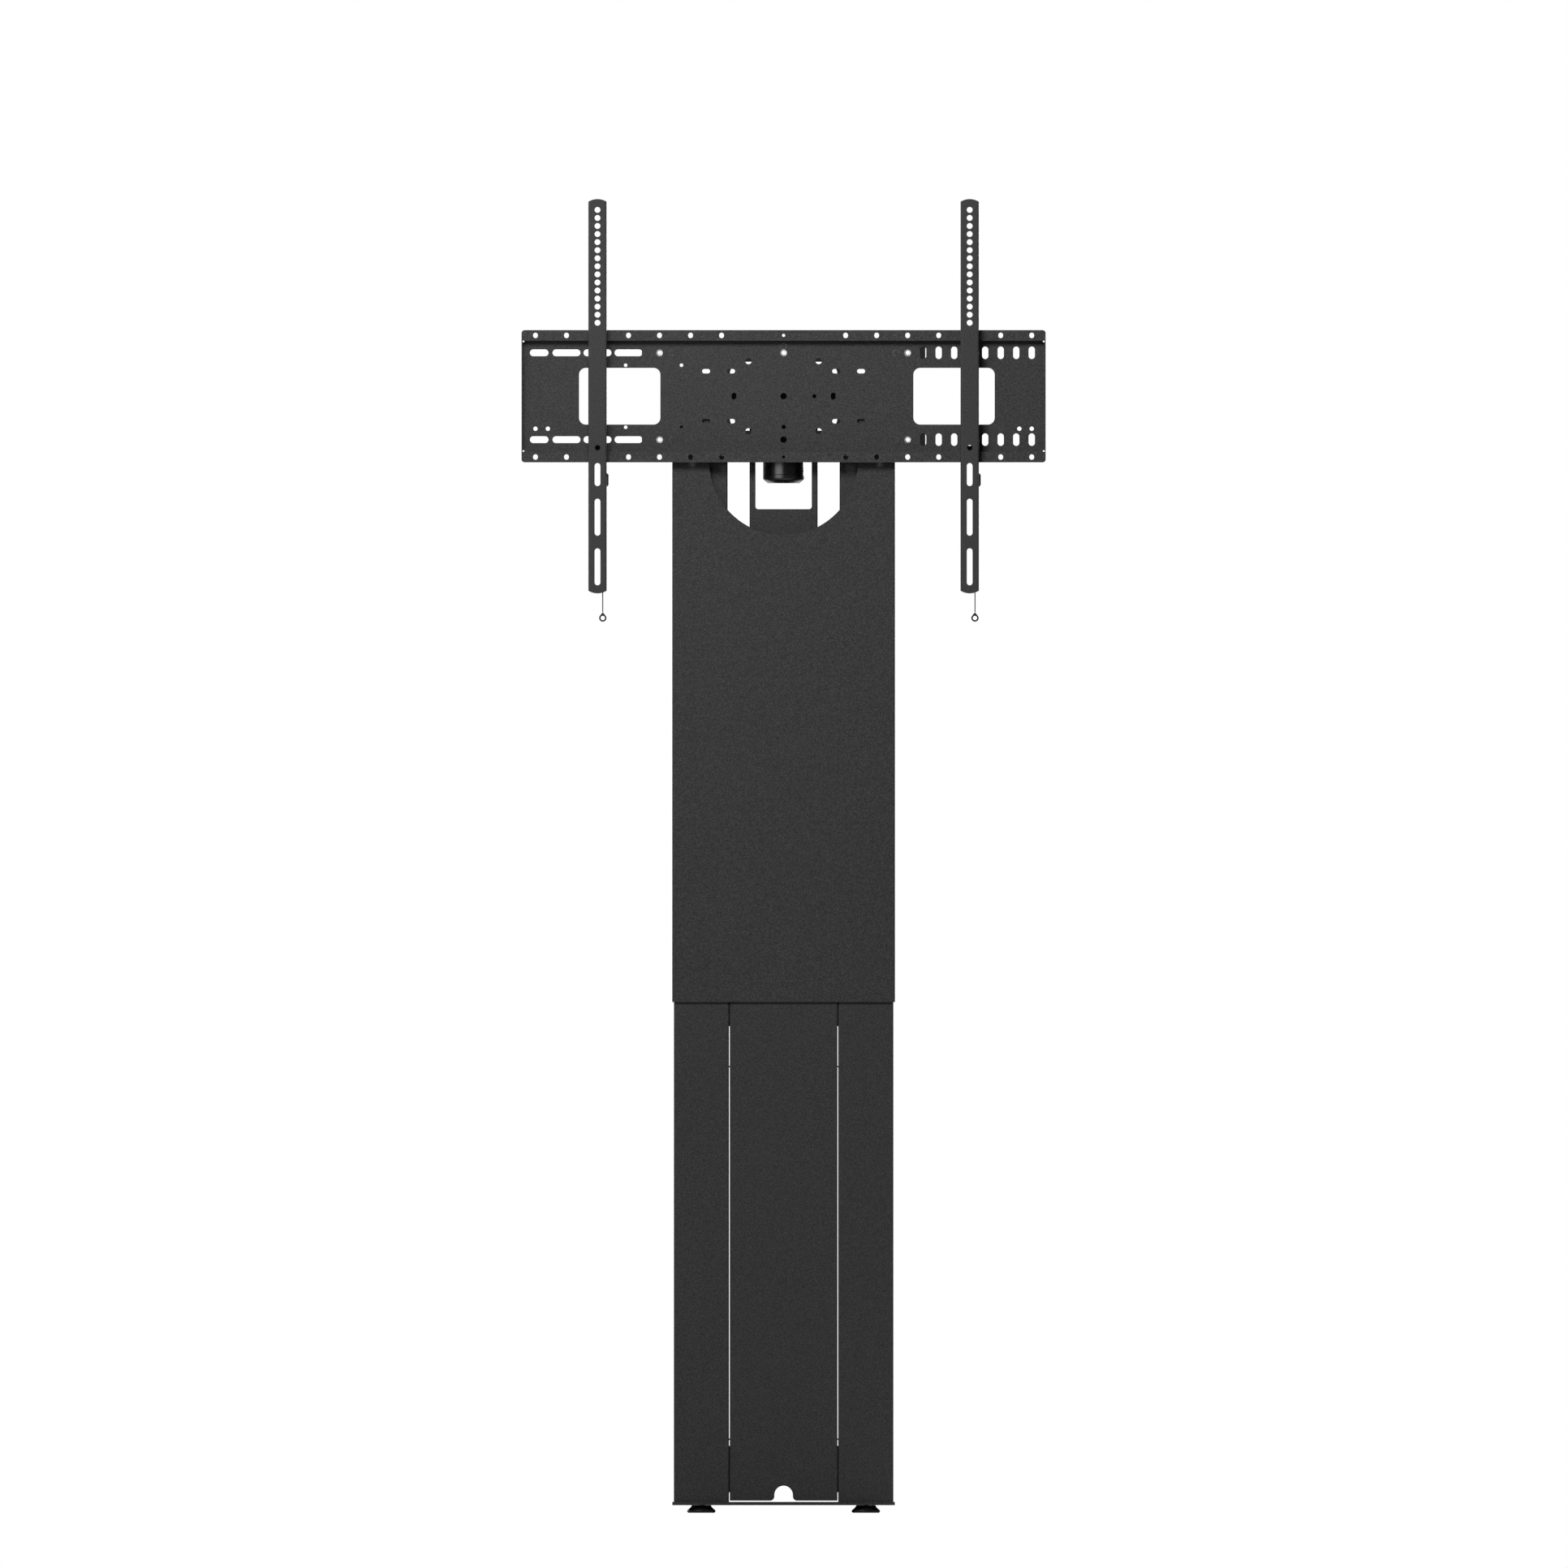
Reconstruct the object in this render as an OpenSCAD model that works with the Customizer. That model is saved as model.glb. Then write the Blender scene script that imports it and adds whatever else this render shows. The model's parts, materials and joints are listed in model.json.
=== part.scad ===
// Floor standing column lift that raises a large flat display.
// Millimetres, +Z up, the display looks towards -Y and the wall is at +Y.
// The lift is drawn fully raised, with its origin on the floor under the middle of the whole.

/* [Lift] */
// Height of the display centre with the lift lowered
low_z = 1150; // [1120:5:1200]
// Travel of the lift
travel = 650; // [560:10:660]
// Height of the fixed casings above the base plate
casing_h = 1022.3; // [1000:1:1040]
// Length of mast that stays inside the casings when raised
mast_overlap = 240; // [200:5:260]
// Length of cover that stays over the casings when raised
cover_overlap = 216.7; // [180:5:230]
// Diameter of the lifting spindles
spindle_d = 16; // [14:1:18]
// Distance between the two spindles
spindle_pitch = 263; // [250:1:270]

/* [Base] */
// Width of the base plate
base_w = 359; // [355:1:380]
// Depth of the base plate
base_d = 140; // [130:1:140]
// Thickness of the base plate
base_t = 5.4; // [4:0.2:8]
// Diameter of a foot pad
foot_d = 45.8; // [40:1:50]
// Height of a foot pad
foot_h = 12; // [10:1:16]
// Distance between the left and right feet
foot_pitch_x = 265.2; // [240:1:280]
// Distance between the front and rear feet
foot_pitch_y = 90; // [86:1:92]
// Diameter of a foot's threaded stud
stud_d = 10; // [8:1:12]

/* [Casings] */
// Overall width of the two fixed casings
casing_w = 354; // [350:1:360]
// Depth of the fixed casings
casing_d = 119; // [116:1:125]
// Sheet thickness of casings, covers and door
sheet_t = 1.5; // [1:0.1:1.8]
// Outside radius of the sheet bends
bend_r = 3; // [2.5:0.5:4]
// Depth of the casings' folded inner lip
inner_lip = 12; // [11:0.5:12.5]
// Width of the casings' folded back lip
back_lip = 27; // [22:1:30]
// Width of the front door
door_w = 173.6; // [160:0.2:174]
// Width of the slit each side of the door
door_slit = 1.2; // [1:0.1:3]
// Height of the gap under the door
door_gap = 1.9; // [1:0.1:4]
// Depth of the door's side folds
door_fold = 8; // [6:0.5:9]
// Travel of the door when it is lifted off its hooks
door_lift = 12; // [11:0.5:14]
// Height of the lower door hooks
hook_low_z = 117.5; // [115:1:130]
// Height of the upper door hooks
hook_high_z = 718; // [600:2:740]
// Width of the cable notch in the door
notch_w = 29.7; // [24:0.5:40]
// Height of the cable notch above the door's edge
notch_h = 24.1; // [22:0.5:28]
// Radius of the flare at the foot of the cable notch
notch_flare = 6.9; // [4:0.5:8]

/* [Cross members] */
// Underside of the lower cross member
cross_low_z = 33.1; // [30:0.5:36]
// Underside of the upper cross member
cross_high_z = 784.4; // [760:1:800]
// Height of the cross members and wall brackets
cross_h = 75; // [70:1:80]
// Sheet thickness of the wall brackets
cross_t = 2; // [1.5:0.5:2.5]
// Distance from the casings' backs to the wall
wall_d = 15; // [12:1:25]
// Width of a wall bracket's wall face
wall_face_w = 280; // [270:1:284]
// Distance between the wall holes, sideways
wall_pitch_x = 240; // [200:1:250]
// Distance between the wall holes, upwards
wall_pitch_z = 40; // [30:1:44]
// Diameter of the wall holes
wall_hole_d = 9; // [7:0.5:10]

/* [Masts and head] */
// Gap between the casings' inner edge and the masts' inner face, seen from the front
mast_inset = 2.2; // [1.6:0.1:4]
// Width of a mast
mast_w = 81.8; // [80:0.2:82]
// Depth of a mast
mast_d = 95; // [90:1:97]
// Sheet thickness of masts, head beam and cradle
mast_t = 2; // [1.5:0.5:2.5]
// Gap between the casings' front sheet and the masts
mast_gap = 12.5; // [12.5:0.5:14]
// Height of the head beam
head_h = 42; // [42:1:48]
// Depth of the head beam
head_d = 80; // [76:1:90]
// Distance from the display centre down to the head beam
head_drop = 20; // [18:1:24]
// Diameter of the motor
motor_d = 66.2; // [60:0.2:66.4]
// Length of the motor
motor_len = 112.3; // [90:0.1:114]
// Width of the motor cradle
cradle_w = 109.8; // [108:0.2:114]
// Length of the motor cradle
cradle_h = 290; // [280:5:300]
// Width of the cradle's window
cradle_win_w = 90.6; // [84:0.2:96]
// Distance from the display centre down to the sill of that window
cradle_sill = 182; // [176:1:186]
// Diameter of the belt pulleys
pulley_d = 30; // [26:1:32]
// Width of the belts
belt_w = 10; // [9:1:10]
// Thickness of the belts
belt_t = 2; // [1.5:0.5:2.5]

/* [Covers] */
// Height of the lower cover
lower_cover_h = 427.4; // [400:1:440]
// Depth of the covers' sides
cover_d = 104; // [95:1:110]
// Gap between the casings' sides and the covers
cover_clear = 1.15; // [1:0.05:2]
// Gap between the casings' front and the covers
cover_run = 4.5; // [4:0.25:6]
// Radius of the notch in the upper cover
cover_notch_r = 120; // [119:0.5:122]
// Distance from the display centre down to the notch's centre
cover_notch_drop = 104; // [102:1:108]

/* [Display bracket] */
// Width of the bracket plate
bracket_w = 845; // [840:1:880]
// Height of the bracket plate
bracket_h = 213.2; // [211:0.2:220]
// Depth of the bracket plate, from lip to web
bracket_d = 22; // [21:1:26]
// Sheet thickness of the bracket plate
bracket_t = 2; // [1.6:0.2:2.4]
// Height of the bracket's folded lips
lip_h = 17.1; // [16:0.1:18]
// Pitch of the bracket's hole rows
row_pitch = 50; // [48:1:50]
// Distance of the hole rows above and below the display centre
row_z = 70; // [68:0.5:72]
// Width of the two windows
window_w = 131; // [110:1:131]
// Height of the two windows
window_h = 91.3; // [80:0.1:94]
// Thickness of the adapter plate
adapter_t = 3; // [2.5:0.5:4]
// Width of the adapter plate over its ears
adapter_w = 457; // [456:1:464]
// Height of the adapter plate
adapter_h = 176; // [172:1:178]
// Gap between the adapter plate and the covers
adapter_gap = 3; // [3:0.5:6]
// Inside diameter of the press nuts
nut_bore_d = 6; // [5:0.5:7]
// Outside diameter of the press nuts
nut_d = 11; // [10.5:0.5:12]

/* [Display arms] */
// Distance between the two display arms
arm_pitch = 600; // [400:10:700]
// Height of the arms' flanges
arm_h = 627.1; // [620:1:640]
// Width of an arm
arm_w = 29.7; // [29:0.1:31]
// Depth of an arm
arm_d = 30; // [28:1:34]
// Sheet thickness of an arm
arm_t = 2; // [1.6:0.2:2.2]
// How far the arms' domed ends stand beyond the flanges
arm_dome = 4.4; // [3:0.2:6]
// Pitch of an arm's round display holes
arm_hole_pitch = 13; // [12.5:0.1:13.2]
// Number of round display holes in an arm
arm_holes = 15; // [10:1:15]
// Height of the uppermost display hole above the display centre
arm_hole_top = 300.4; // [296:0.2:304]
// Diameter of the round display holes
arm_hole_d = 9.3; // [8:0.1:10]
// Width of the long slots in an arm
arm_slot_w = 9.2; // [8:0.2:10]
// Gap between the arms and the bracket's lips
arm_gap = 2; // [1.5:0.5:3]
// Travel of the sprung latch
latch_travel = 9; // [8.5:0.5:10]
// Diameter of the pull cord
cord_d = 1.7; // [1.5:0.1:2]
// Outside diameter of the pull ring
ring_d = 12; // [11:0.5:14]
// Thickness of the pull ring
ring_t = 2.2; // [2:0.1:3]

/* [Hidden] */
$fn = 64;

// Clearances
eps = 0.01;        // overlap that lets a cut pass a face
seat_gap = 0.3;    // gap where one piece slides on or rests in another
run_gap = 0.05;    // radial gap of a shaft in its bore

// Places from front to back
depth = arm_d + arm_gap + bracket_d + adapter_t + adapter_gap + sheet_t + cover_run + casing_d + wall_d;
arm_y = -depth / 2;
arm_back = arm_y + arm_d;
lip_y = arm_back + arm_gap;
adapter_y = lip_y + bracket_d;
web_y = adapter_y - bracket_t;
adapter_back = adapter_y + adapter_t;
cover_y = adapter_back + adapter_gap;
cover_in = cover_y + sheet_t;
casing_y = cover_in + cover_run;
casing_in = casing_y + sheet_t;
casing_back = casing_y + casing_d;
wall_y = casing_back + wall_d;
mast_y = casing_in + mast_gap;
drive_y = mast_y + head_d / 2;
base_mid_y = cover_y + base_d / 2;

// Places from the middle outwards
casing_x = casing_w / 2;
casing_edge = door_w / 2 + door_slit;
mast_x = casing_edge + mast_inset;
mast_out = mast_x + mast_w;
cover_w = casing_w + 2 * (cover_clear + sheet_t);
spindle_x = spindle_pitch / 2;
spindle_r = spindle_d / 2;

// Places from the floor upwards
base_z = foot_h + seat_gap;
base_top = base_z + base_t;
casing_top = base_top + casing_h;
door_z = base_top + door_gap;
door_top = casing_top - 10;
zc = low_z + travel;
head_z = zc - head_drop;
head_top = head_z + head_h;
mast_z = casing_top - mast_overlap;
cover_z = casing_top - cover_overlap;
seam_z = cover_z + lower_cover_h;
cover_top = head_z - 2;
nut_h = 35;
nut_top = casing_top - 5;
nut_z = nut_top - nut_h;
spindle_z = nut_z - 30;

// Drive: two belts, one above the other, share the double pulley on the motor
pulley_r = pulley_d / 2;
flange_t = 1.5;
flange_r = pulley_r + belt_t + 1.5;
belt_side_gap = 0.5;
belt_z = head_z + mast_t + 3;
level_h = belt_w + 2 * (belt_side_gap + flange_t);
shaft_r = 5;
shaft_deep = 20;        // of the motor shaft inside the motor
shaft_top = belt_z + 2 * level_h + 2;
bearing_r = spindle_r + 8;
bearing_lip = 3;
bearing_drop = 4;       // thickness of a bearing's lip, under the head beam
collar_h = 9;
motor_flange_t = 8;
motor_z = head_z - motor_flange_t - motor_len;
motor_cap_h = 14;
motor_bevel_r = 7.7;
motor_bevel_h = 7;
cradle_y = mast_y + 4;
cradle_d = 72;
cradle_z = head_z - cradle_h;
inlet_w = 28;
inlet_d = 22;
inlet_deep = 22;
inlet_mouth_w = 24;
inlet_mouth_d = 17;
inlet_wall = 4;
box_w = 92;
box_d = 60;
box_h = 108;

// Bracket plate
lip_in = bracket_h / 2 - lip_h;
lip_hole_w = 7.7;
lip_hole_h = 8.8;
left_window_x = -264.2;
right_window_x = 274.75;
window_r = 11;
adapter_waist_w = 396;
adapter_win_w = 173;
adapter_win_h = 111;
adapter_win_r = 20;
adapter_ear_z = 50;
stand_off_x = 106;
stand_off_w = 22;
stand_off_low = 96;     // lower end of a stand-off below the display centre
stand_off_top = 4;      // from a stand-off's upper end up to the head beam's top
stud_clinch_r = 4.3;
stud_side = 20;         // from a corner press nut in to its clinched stud
stud_rise = 10;         // from a hole row out to the middle studs
screw_r = 4;
screw_len = 16;
screw_head_r = 7;
screw_head_h = 2;
slot_h = 11;            // height of the long slots of the left hole rows
slot_w = 45;
end_slot_w = 30;
end_slot_x = 394;
tall_slot_w = 10;       // upright slots of the right hole rows
tall_slot_h = 20;
short_slot_w = 12.8;
short_slot_h = 7.1;
short_slot_z = 40.3;
short_slot_out = 124.9;
short_slot_in = 84.7;
side_slot_x = 80;
side_slot_w = 7.7;
side_slot_h = 11.4;
pin_r = 2.8;
pin_out = 254.6;
pin_in = 164.6;
pair_x = [380, 400];    // two small holes near each end of the web
pair_z = 52.4;
pair_r = 3.5;
ring_hole_r = 5;
ring_hole_at = 56.6;    // sideways and upwards from the display centre
centre_r = 5.25;
right_hole_x = 49.6;
right_hole_r = 3.25;
low_hole_z = 49.4;
low_hole_r = 3.4;
lip_hole_r = 2.5;       // in the middle of each lip

// Display arms and their latches
arm_x = arm_pitch / 2;
arm_bend = 3;
hook_gap = 0.6;
hook_w = 7;
hook_top = bracket_h / 2 + hook_gap + 14;
hook_tip = lip_in + 4.5;
latch_y = arm_back - 7;
latch_t = 3;
latch_half = arm_w / 2 - arm_t - 0.35;
latch_top = bracket_h / 2 + 2.4;     // shelf of the latch, under the bracket's lower lip
latch_tip = bracket_h / 2 - latch_travel + 1.4;
latch_low = 150;
tab_high = 123.5;
tab_low = 146.3;
tab_out = 3;
guide_z = 138;
guide_r = 1.2;
cord_x = 8.5;
cord_low = 348;
ring_z = cord_low + 3.5 + ring_d / 2;
// Points of a pull cord, below its fixing in the latch
cord_route = [
    [0, 0, 0], [0, 0, -10], [0, 0, -25], [0, 0, -40], [0.1, 0, -55], [0.2, 0, -70], [0.2, 0, -85],
    [0.2, 0, -100], [0.1, 0, -115], [0, 0, -130], [-0.1, 0, -145], [-0.1, 0, -160], [0, 0, -175],
    [0, 0, -188], [0, 0, -198]
];

// Colours
charcoal = [0.2, 0.2, 0.2];
black = [0.06, 0.06, 0.06];
zinc = [0.72, 0.73, 0.75];
steel = [0.6, 0.61, 0.63];
rubber = [0.1, 0.1, 0.1];
nylon = [0.85, 0.84, 0.8];

// A rectangle centred on the origin with round corners
module rounded_rect(w, h, r) {
    square([w - 2 * r, h], center = true);
    square([w, h - 2 * r], center = true);
    for (sx = [-1, 1], sy = [-1, 1])
        translate([sx * (w / 2 - r), sy * (h / 2 - r)]) circle(r);
}

// A slot with round ends, centred on the origin
module slot(w, h) {
    r = min(w, h) / 2;
    reach = max(w, h) / 2 - r;
    rotate(h > w ? 90 : 0) {
        square([max(2 * reach, eps), 2 * r], center = true);
        for (s = [-1, 1]) translate([s * reach, 0]) circle(r);
    }
}

// A U of bent sheet seen along its length, open at the back, with its front edge on y = 0
module sheet_u(w, d, t, r) {
    module front_round(w, d, r) {
        translate([0, d / 2 + r / 2]) square([w, d - r], center = true);
        translate([0, r / 2]) square([w - 2 * r, r], center = true);
        for (s = [-1, 1]) translate([s * (w / 2 - r), r]) circle(r);
    }
    difference() {
        front_round(w, d, r);
        translate([0, t]) front_round(w - 2 * t, d, r - t);
    }
}

// The same U with its back edges folded in by lip
module sheet_c(w, d, t, r, lip) {
    difference() {
        translate([0, d / 2]) rounded_rect(w, d, r);
        translate([0, d / 2]) rounded_rect(w - 2 * t, d - 2 * t, r - t);
        translate([0, d]) square([w - 2 * lip, 2 * t + 2 * r], center = true);
    }
}

// Flat work seen from the front: 2D x and y become X and Z, and t runs back from y
module from_front(y, t) {
    translate([0, y + t, 0]) rotate([90, 0, 0]) linear_extrude(t) children();
}

// Flat work seen from the side: 2D x and y become Y and Z, and t runs right from x
module from_side(x, t) {
    translate([x, 0, 0]) rotate([90, 0, 90]) linear_extrude(t) children();
}

// An upright piece with the 2D outline given, from z0 to z1
module upright(z0, z1) {
    translate([0, 0, z0]) linear_extrude(z1 - z0) children();
}

// A closed tube through rings of points, each ring counter-clockwise as seen from its far end
module ring_tube(rings) {
    n = len(rings);
    sides = len(rings[0]);
    last = (n - 1) * sides;
    walls = [for (k = [0 : n - 2], i = [0 : sides - 1]) let (j = (i + 1) % sides) each [
        [(k + 1) * sides + j, k * sides + j, k * sides + i],
        [(k + 1) * sides + i, (k + 1) * sides + j, k * sides + i]]];
    ends = [for (i = [1 : sides - 2]) each [[i, i + 1, 0], [last + i + 1, last + i, last]]];
    polyhedron(points = [for (ring = rings) each ring], faces = concat(walls, ends));
}

// A screw with its head's underside on z = 0 and its shank going down
module screw(r, len, head_r, head_h) {
    translate([0, 0, -len]) cylinder(r = r, h = len);
    cylinder(r = head_r, h = head_h);
}

// The hole for such a screw, open past its head's face
module shank_hole(r, len) {
    translate([0, 0, -len]) cylinder(r = r, h = len + 1);
}

// Puts its children at each foot
module at_feet() {
    for (sx = [-1, 1], sy = [-1, 1])
        translate([sx * foot_pitch_x / 2, base_mid_y + sy * foot_pitch_y / 2, 0]) children();
}

// Base plate and levelling feet
stud_r = stud_d / 2;
stud_foot_z = 4;
foot_nut_h = 8;
foot_top_r = 12.9;
foot_rim = 2;
foot_rim_h = 5.6;
tube_r = 15;
tube_wall = 2.5;
tube_flange_r = 22;
tube_flange_t = 4;
cable_notch_w = 80;
cable_notch_d = 30;

module base_plate() {
    color(charcoal) difference() {
        translate([0, base_mid_y, 0]) upright(base_z, base_top) rounded_rect(base_w, base_d, 4);
        at_feet() translate([0, 0, base_z - 1]) cylinder(r = stud_r + run_gap, h = base_t + 2);
        translate([0, base_mid_y + base_d / 2, 0])
            upright(base_z - 1, base_top + 1) square([cable_notch_w, 2 * cable_notch_d], center = true);
    }
}

module foot(sx, sy) {
    rim_r = foot_d / 2;
    color(black) translate([sx * foot_pitch_x / 2, base_mid_y + sy * foot_pitch_y / 2, 0])
        rotate_extrude() polygon([
            [0, 0], [rim_r - foot_rim, 0], [rim_r, foot_rim], [rim_r, foot_rim_h - foot_rim],
            [rim_r - foot_rim, foot_rim_h], [foot_top_r, foot_h], [stud_r, foot_h],
            [stud_r, stud_foot_z], [0, stud_foot_z]]);
}

module stud(sx, sy) {
    color(zinc) translate([sx * foot_pitch_x / 2, base_mid_y + sy * foot_pitch_y / 2, stud_foot_z])
        cylinder(r = stud_r, h = base_top + 3 * foot_nut_h - stud_foot_z);
}

module foot_nuts() {
    color(zinc) at_feet() translate([0, 0, base_top]) difference() {
        cylinder(r = 0.98 * stud_d, h = foot_nut_h, $fn = 6);
        translate([0, 0, -1]) cylinder(r = stud_r + run_gap, h = foot_nut_h + 2);
    }
}

// Fixed casings
small_r = 2.5;          // shank of the casing bolts
small_head_r = 4;
small_head_h = 2.5;
cross_gap = 0.3;        // between a cross member's folded end and the door
cross_sheet = door_slit - cross_gap;
lip_bolt_y = casing_y + inner_lip - 5;
back_bolt_x = casing_x - 9;
hook_y = casing_y + 3;
hook_d = 4;
hook_h = 2.5;
hook_drop = 6;

// Puts its children at each bolt through a casing's inner lip, head outwards
module at_lip_bolts() {
    for (s = [-1, 1], z = [cross_low_z, cross_high_z])
        translate([s * (casing_edge + sheet_t), lip_bolt_y, z + cross_h / 2])
            rotate([0, 90 * s, 0]) children();
}

// Puts its children at each bolt through a casing's back lip, head forwards
module at_back_bolts() {
    for (s = [-1, 1], z = [cross_low_z, cross_high_z])
        translate([s * back_bolt_x, casing_back - sheet_t, z + cross_h / 2])
            rotate([90, 0, 0]) children();
}

module casing_profile() {
    w = casing_x - casing_edge;
    difference() {
        translate([casing_edge + w / 2, casing_y + casing_d / 2]) difference() {
            rounded_rect(w, casing_d, bend_r);
            rounded_rect(w - 2 * sheet_t, casing_d - 2 * sheet_t, bend_r - sheet_t);
        }
        translate([casing_edge - 1, casing_y + inner_lip]) square([1 + sheet_t + eps, casing_d]);
        translate([casing_edge - 1, casing_back - sheet_t - bend_r])
            square([w - back_lip + 1, sheet_t + bend_r + 1]);
    }
}

module casing(side) {
    color(charcoal) difference() {
        mirror([side < 0 ? 1 : 0, 0, 0]) upright(base_top, casing_top) casing_profile();
        for (z = [hook_low_z, hook_high_z])
            translate([side * (casing_edge + sheet_t / 2), hook_y + hook_d / 2,
                       z + (hook_h + door_lift) / 2])
                cube([3 * sheet_t, hook_d + 2 * seat_gap, hook_h + door_lift + 2 * seat_gap],
                     center = true);
        at_lip_bolts() shank_hole(small_r + run_gap, 2 * sheet_t);
        at_back_bolts() shank_hole(small_r + run_gap, 2 * sheet_t);
    }
}

module cross_profile() {
    translate([0, casing_y + inner_lip]) mirror([0, 1])
        sheet_u(2 * casing_edge, inner_lip - sheet_t - 0.5, cross_sheet, bend_r);
}

module cross_member(z, notch) {
    color(charcoal) difference() {
        upright(z, z + cross_h) cross_profile();
        at_lip_bolts() shank_hole(small_r + run_gap, 3 * sheet_t);
        if (notch) translate([0, 0, z])
            from_front(casing_y, casing_d) square([notch_w + 20, 2 * (notch_h - 7)], center = true);
    }
}

module wall_profile() {
    translate([0, wall_y - cross_t / 2]) square([wall_face_w, cross_t], center = true);
    for (s = [-1, 1]) {
        translate([s * (wall_face_w - cross_t) / 2, (casing_back + wall_y) / 2])
            square([cross_t, wall_d], center = true);
        translate([s * (wall_face_w / 2 - cross_t + casing_x - 4) / 2, casing_back + cross_t / 2])
            square([casing_x - 4 - wall_face_w / 2 + cross_t, cross_t], center = true);
    }
}

module wall_bracket(z, notch) {
    color(charcoal) difference() {
        upright(z, z + cross_h) wall_profile();
        for (s = [-1, 1], t = [-1, 1])
            translate([s * wall_pitch_x / 2, wall_y + 1, z + cross_h / 2 + t * wall_pitch_z / 2])
                rotate([90, 0, 0]) cylinder(d = wall_hole_d, h = cross_t + 2);
        at_back_bolts() shank_hole(small_r + run_gap, sheet_t + 2 * cross_t);
        if (notch) translate([0, 0, z])
            from_front(casing_back, wall_d + 1) square([notch_w + 20, 2 * (notch_h - 7)], center = true);
    }
}

// The door's cable notch: a round top on a straight neck with a flared foot
module bell_notch() {
    neck = notch_w / 2;
    translate([0, notch_h - neck]) circle(neck);
    translate([0, (notch_h - neck) / 2 - 1]) square([notch_w, notch_h - neck + 2], center = true);
    difference() {
        translate([0, notch_flare / 2 - 1])
            square([notch_w + 2 * notch_flare, notch_flare + 2], center = true);
        for (s = [-1, 1]) translate([s * (neck + notch_flare), notch_flare]) circle(notch_flare);
    }
}

module front_door() {
    hook_x = door_w / 2 - sheet_t;
    tip_x = casing_edge + sheet_t + seat_gap;
    color(charcoal) {
        difference() {
            translate([0, casing_y, 0])
                upright(door_z, door_top) sheet_u(door_w, door_fold, sheet_t, 2);
            translate([0, 0, door_z]) from_front(casing_y - 1, sheet_t + 2) bell_notch();
        }
        for (s = [0, 1], z = [hook_low_z, hook_high_z]) mirror([s, 0, 0]) translate([0, 0, z])
            from_front(hook_y, hook_d) polygon([
                [hook_x, 0], [tip_x, 0], [tip_x, -hook_drop], [tip_x + sheet_t, -hook_drop],
                [tip_x + sheet_t, hook_h], [hook_x, hook_h]]);
    }
}

// Support tubes, spindle nuts, glides and bolts of the fixed part
module support_tube(side) {
    color(steel) translate([side * spindle_x, drive_y, base_top]) difference() {
        union() {
            cylinder(r = tube_r, h = nut_z - base_top);
            cylinder(r = tube_flange_r, h = tube_flange_t);
        }
        translate([0, 0, -1]) cylinder(r = tube_r - tube_wall, h = nut_z - base_top + 2);
    }
}

module spindle_nuts() {
    color([0.72, 0.6, 0.35]) for (s = [-1, 1]) translate([s * spindle_x, drive_y, nut_z]) difference() {
        union() {
            cylinder(r = tube_r - 1, h = nut_h);
            cylinder(r = tube_r + 3, h = 6);
        }
        translate([0, 0, -1]) cylinder(r = spindle_r + run_gap, h = nut_h + 2);
    }
}

glide_h = 45;
glide_drop = 5;         // from a casing's top down to its glides
glide_back_w = 10;
glide_inset_x = 12;     // from a mast's sides to its front glide
glide_inset_y = 10;     // from a mast's front to its side glide
glide_side_w = mast_d - 25;

module casing_glides() {
    color(nylon) for (s = [0, 1]) mirror([s, 0, 0]) {
        translate([mast_out + seat_gap, mast_y + glide_inset_y, casing_top - glide_h - glide_drop])
            cube([casing_x - sheet_t - mast_out - seat_gap, glide_side_w, glide_h]);
        translate([mast_x + glide_inset_x, casing_in, casing_top - glide_h - glide_drop])
            cube([mast_w - 2 * glide_inset_x, mast_gap - seat_gap, glide_h]);
    }
}

module casing_bolts() {
    color(black) {
        at_lip_bolts() screw(small_r, sheet_t + cross_sheet, small_head_r, small_head_h);
        at_back_bolts() screw(small_r, sheet_t + cross_t, small_head_r, small_head_h);
    }
}

// Moving masts, head beam and what they carry
mast_lip = 13;
mast_glide_h = 40;

module mast(side) {
    color(charcoal) translate([side * (mast_x + mast_w / 2), mast_y, 0])
        upright(mast_z, head_z) sheet_c(mast_w, mast_d, mast_t, bend_r, mast_lip);
}

module mast_glides() {
    color(nylon) for (s = [0, 1]) mirror([s, 0, 0]) {
        translate([mast_out, mast_y + glide_inset_y, mast_z])
            cube([casing_x - sheet_t - seat_gap - mast_out, glide_side_w, mast_glide_h]);
        translate([mast_x + glide_inset_x, casing_in + seat_gap, mast_z])
            cube([mast_w - 2 * glide_inset_x, mast_gap - seat_gap, mast_glide_h]);
        translate([casing_x - back_lip, mast_y + mast_d, mast_z])
            cube([glide_back_w, casing_back - sheet_t - seat_gap - mast_y - mast_d, mast_glide_h]);
    }
}

module head_outline(inset) {
    translate([0, drive_y]) rounded_rect(2 * (mast_out - inset), head_d - 2 * inset, bend_r - inset);
}

module head_beam() {
    color(charcoal) difference() {
        upright(head_z, head_top) head_outline(0);
        upright(head_z + mast_t, head_top + 1) head_outline(mast_t);
        for (s = [-1, 1]) translate([s * spindle_x, drive_y, head_z - 1])
            cylinder(r = bearing_r + run_gap, h = mast_t + 2);
        translate([0, drive_y, head_z - 1]) cylinder(r = 2 * shaft_r, h = mast_t + 2);
    }
}

module drive_lid() {
    color(charcoal) upright(head_top, head_top + sheet_t) head_outline(0);
}

module stand_offs() {
    color(steel) for (s = [-1, 1]) difference() {
        translate([s * stand_off_x - stand_off_w / 2, adapter_back, zc - stand_off_low])
            cube([stand_off_w, mast_y - adapter_back, head_top - stand_off_top - zc + stand_off_low]);
        at_stand_off_bolts() shank_hole(screw_r + run_gap, screw_len + run_gap);
    }
}

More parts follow.
